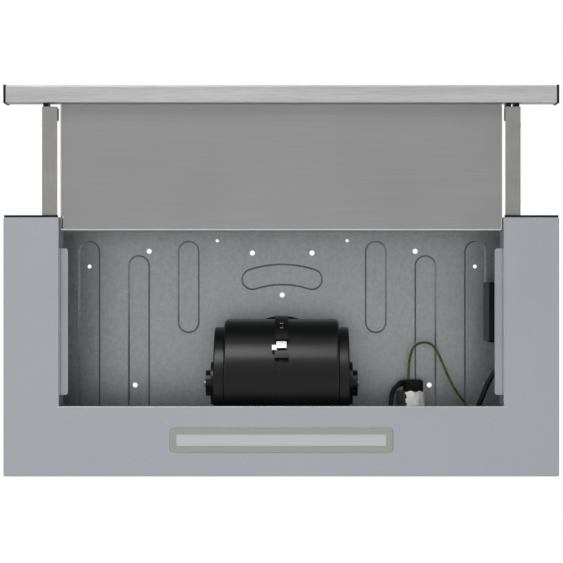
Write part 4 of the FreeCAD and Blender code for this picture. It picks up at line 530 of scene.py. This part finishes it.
# The sleeve's faint glow is painted light, which keeps it bright in the shade at the rear of the hood.
sleeve = Finish("crinkled_sleeve_with_painted_glow", Specular_IOR_Level=0.3, Emission_Strength=0.2)
crease_and_glow = sleeve.noise(180, 4, sleeve.place((1.0, 0.4, 1.0)))
sleeve.surface(
    height=crease_and_glow, strength=0.3, depth=0.0008,
    Base_Color=sleeve.blend(sleeve.span(crease_and_glow, 0, 1, 0.35, 0.6),
                            shade(226, 226, 220), shade(250, 250, 244)),
    Emission_Color=sleeve.blend(sleeve.span(crease_and_glow, 0, 1, 0.35, 0.6),
                                shade(150, 150, 146), shade(235, 235, 230)),
    Roughness=sleeve.span(crease_and_glow, 0.5, 0.7))
CAN_AXIS = (0.1467, -0.019)   # x and z
CAN_RADIUS = 0.0155
SLEEVE_START, SLEEVE_END = 0.0245, 0.0565
SLEEVE_ANGLES = (-108, 62)    # from +X, as the lower side shows it
SLEEVE_WALL = 0.0003
AROUND, ALONG = 56, 30        # how finely the sleeve is divided
RIDGE_COUNT = 9
RIDGE_LIMITS = ((2, 9), (-3, 3), (0, 6.3), (0.3, 1.0))   # waves round the can, lean, shift and weight
LEAN_STRETCH = 6
RIDGE_HEIGHT = 0.0022
TEAR_WAVES = ((0.10, 23, 1.0), (0.06, 57, 0.0))   # size, waves along the sleeve, and shift
TEAR_SLOPE, TEAR_FROM = 0.55, 0.45      # the tear widens from this part of the length on
TEAR_DEGREES = 30
END_WAVE, END_WAVES = 0.0008, 9
SLEEVE_SMOOTH = 35            # degrees
fold_noise = random.Random(7)
RIDGES = [[fold_noise.uniform(*limits) for limits in RIDGE_LIMITS] for ridge in range(RIDGE_COUNT)]


def sleeve_point(across, along):
    """Where the sleeve's sheet lies, at parts of its way round the can and along it."""
    ragged = sum(size * math.sin(waves * along + shift) for size, waves, shift in TEAR_WAVES)
    ragged = ragged - TEAR_SLOPE * max(0.0, along - TEAR_FROM)
    start = SLEEVE_ANGLES[0] - TEAR_DEGREES * ragged * (1 - across)
    turn = math.radians(start + (SLEEVE_ANGLES[1] - start) * across)
    crush = sum(weight * abs(math.sin(waves * turn + lean * LEAN_STRETCH * along + shift))
                for waves, lean, shift, weight in RIDGES) / len(RIDGES)
    lift = CAN_RADIUS + SLEEVE_WALL + RIDGE_HEIGHT * crush
    reach = SLEEVE_START + (SLEEVE_END - SLEEVE_START) * along + END_WAVE * math.sin(END_WAVES * turn)
    return (CAN_AXIS[0] + lift * math.cos(turn), reach, CAN_AXIS[1] + lift * math.sin(turn))


bpy.ops.object.select_all(action="DESELECT")
bpy.ops.mesh.primitive_grid_add(x_subdivisions=AROUND, y_subdivisions=ALONG, size=1)
crumpled = bpy.context.object
crumpled.name = "crumpled_sleeve"
for vertex in crumpled.data.vertices:
    vertex.co = sleeve_point(vertex.co.x + 0.5, vertex.co.y + 0.5)
wall = crumpled.modifiers.new("wall", "SOLIDIFY")
wall.thickness = SLEEVE_WALL
wall.offset = 0
bpy.ops.object.modifier_apply(modifier="wall")
bpy.ops.object.mode_set(mode="EDIT")
bpy.ops.mesh.select_all(action="SELECT")
bpy.ops.mesh.normals_make_consistent(inside=False)
bpy.ops.object.mode_set(mode="OBJECT")
bpy.ops.object.shade_smooth_by_angle(angle=math.radians(SLEEVE_SMOOTH))
crumpled.data.materials.append(sleeve.material)
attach(crumpled, "hood")
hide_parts("capacitor_wrap")
boot = Finish("soft_black_boot", Specular_IOR_Level=0.25)
bloom = boot.noise(80, 3)
boot.surface(
    height=bloom, strength=0.15, depth=0.0004,
    Base_Color=boot.blend(boot.span(bloom, 0, 1, 0.4, 0.75), shade(16, 16, 16), shade(30, 30, 30)),
    Roughness=boot.span(bloom, 0.45, 0.6))
dress(boot, "capacitor_boot")

# ---- control box ----
# The printed board inside the black box on the right wall, with its relay and choke: glass fibre under
# a green solder mask, with the copper tracks showing through.
board = Finish("green_solder_mask", Specular_IOR_Level=0.4)
tracks = board.node("TexBrick", {}, {"Vector": board.place((60, 60, 60), (1.57, 0, 0)), "Scale": 1.0,
                                     "Color1": (0, 0, 0, 1), "Color2": (0.3, 0.3, 0.3, 1),
                                     "Mortar": (1, 1, 1, 1), "Mortar Size": 0.06}, "Fac")
board.surface(
    height=tracks, strength=0.3, depth=0.0001,
    Base_Color=board.blend(tracks, shade(28, 84, 48), shade(70, 120, 66)),
    Roughness=board.span(tracks, 0.3, 0.45))
dress(board, "circuit_board")

# ---- lamp ----
# A long moulded frame with a frosted lens, in the base's rear part, and behind it the LED board under
# its white solder mask.
lamp_plastic = Finish("warm_grey_frame", Specular_IOR_Level=0.3)
bead = lamp_plastic.noise(1200, 2)
lamp_plastic.surface(
    height=bead, strength=0.15, depth=0.0002,
    Base_Color=lamp_plastic.blend(bead, shade(146, 148, 140), shade(156, 158, 149)),
    Roughness=lamp_plastic.span(bead, 0.42, 0.55))
dress(lamp_plastic, "lamp_bezel")
lens = Finish("frosted_lens", Specular_IOR_Level=0.5)
frost = lens.noise(900, 2)
flute = lens.noise(30, 2, lens.place((1.0, 12.0, 12.0)))
lens.surface(
    height=frost, strength=0.2, depth=0.0002,
    Base_Color=lens.blend(flute, shade(176, 178, 181), shade(188, 190, 193)),
    Roughness=lens.span(frost, 0.35, 0.5))
dress(lens, "lamp_diffuser")
mask = Finish("white_solder_mask", Specular_IOR_Level=0.4)
coat = mask.noise(200, 2)
mask.surface(Base_Color=mask.blend(coat, shade(222, 222, 214), shade(236, 236, 230)),
             Roughness=mask.span(coat, 0.35, 0.5))
dress(mask, "led_board")

# ---- slides and runners ----
# Rolled steel channels that carry the visor: fixed slides on the base's opening, and outer runners
# riveted to moving slides, with ball cages between.  The steel is dull, with rolling lines lengthways.
slide = Finish("dull_rolled_steel", Metallic=0.35)
drawn = slide.noise(90, 4, slide.place((14.0, 0.25, 14.0)))
spot = slide.noise(55, 3)
slide.surface(
    height=drawn, strength=0.06, depth=0.0002,
    Base_Color=slide.blend(slide.span(drawn * 0.6 + spot * 0.4, 0, 1, 0.3, 0.7),
                           shade(144, 143, 140), shade(160, 159, 156)),
    Roughness=slide.span(drawn, 0.36, 0.5))
dress(slide, "runner_left", "runner_right", "runner_rivets", "slide_moving_left", "slide_moving_right",
      "slide_fixed_left", "slide_fixed_right")

# ---- visor ----
# Flat panel that pulls out over the hob, its edges turned up.  Fine-ground stainless, with a grain that
# runs along the hood and a faint cloudiness, and a painted highlight where it is folded.
ground = Finish("fine_ground_steel", Metallic=0.3)
grain = ground.noise(130, 4, ground.place((0.12, 9.0, 9.0)))
haze = ground.noise(8, 2)
ground.surface(
    height=grain, strength=0.05, depth=0.0002,
    Base_Color=ground.blend(ground.span(grain * 0.45 + haze * 0.55, 0, 1, 0.3, 0.7),
                            shade(146, 145, 145), shade(158, 157, 157)),
    Roughness=ground.span(grain, 0.36, 0.48))
visor = softened("visor_panel", "visor", ground, width=0.0007)
VISOR_EDGE = 0.235            # beyond this x the edges are moved out, to narrow the gap to the base
VISOR_WIDER = 0.0008
for vertex in visor.data.vertices:
    if abs(vertex.co.x) > VISOR_EDGE:
        vertex.co.x += math.copysign(VISOR_WIDER, vertex.co.x)
# A painted highlight: a pale copy of the steel on the visor's outer folds.
visor_fold_highlight = Finish("painted_highlight_on_visor_folds", Metallic=0.3)
visor_highlight_speckle = visor_fold_highlight.noise(400, 2)
visor_fold_highlight.surface(Base_Color=visor_fold_highlight.blend(visor_highlight_speckle, shade(222, 222, 222), shade(236, 236, 236)),
                  Roughness=visor_fold_highlight.span(visor_highlight_speckle, 0.28, 0.36))
OUTWARD = 0.2                 # x or y of the normals of an outer fold, at least
give_painted_highlight(visor, visor_fold_highlight, lambda middle, normal: -SLANT_MOST < normal.z < FACES_DOWN
           and (normal.y > OUTWARD or abs(normal.x) > OUTWARD))

# ---- front strip ----
# The hood's handle and face, along the visor's front edge: folded from stainless sheet, brushed
# lengthways, and closed by black end caps.
brushed = Finish("brushed_stainless", Metallic=0.45)
stroke = brushed.noise(240, 5, brushed.place((0.14, 5.0, 5.0)), 0.65)
broad = brushed.noise(26, 2, brushed.place((0.1, 3.0, 3.0)))
brushed.surface(
    height=stroke, strength=0.1, depth=0.0002,
    Base_Color=brushed.blend(brushed.span(stroke * 0.6 + broad * 0.4, 0, 1, 0.3, 0.7),
                             shade(176, 176, 176), shade(226, 226, 226)),
    Roughness=brushed.span(stroke, 0.28, 0.42))
dress(brushed, "front_strip")

# ---- push buttons ----
# Four grey caps in a black moulded console, each with a slightly worn top.  Nothing stands out of the
# strip's face, so what lies in front of it is pushed in until it is all but flush.
cap = Finish("grey_button_plastic", Specular_IOR_Level=0.35)
touch = cap.noise(160, 3)
cap.surface(
    height=touch, strength=0.06, depth=0.0002,
    Base_Color=cap.blend(touch, shade(152, 153, 155), shade(168, 169, 171)),
    Roughness=cap.span(touch, 0.34, 0.48))
STRIP_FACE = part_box("front_strip")[0][1]
FLUSH = 0.0002                # the console's plate over the strip, and the caps over the plate


def set_back(name, body, finish, behind, front):
    """Stands in for a CAD node: what lies in front of a face is pushed in, up to a new front."""
    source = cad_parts[name]
    piece = bpy.data.objects.new(name + "_flush", source.data.copy())
    bpy.context.scene.collection.objects.link(piece)
    shift = front - min(vertex.co.y for vertex in piece.data.vertices)
    for vertex in piece.data.vertices:
        if vertex.co.y < behind:
            vertex.co.y = min(vertex.co.y + shift, behind)
    piece.data.materials.clear()
    piece.data.materials.append(finish.material)
    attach(piece, body)
    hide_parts(name)


set_back("button_console", "visor", plastic, STRIP_FACE, STRIP_FACE - FLUSH)
for number in range(1, 5):
    set_back("button_%d" % number, "push_button_%d" % number, cap,
             STRIP_FACE, STRIP_FACE - 2 * FLUSH)
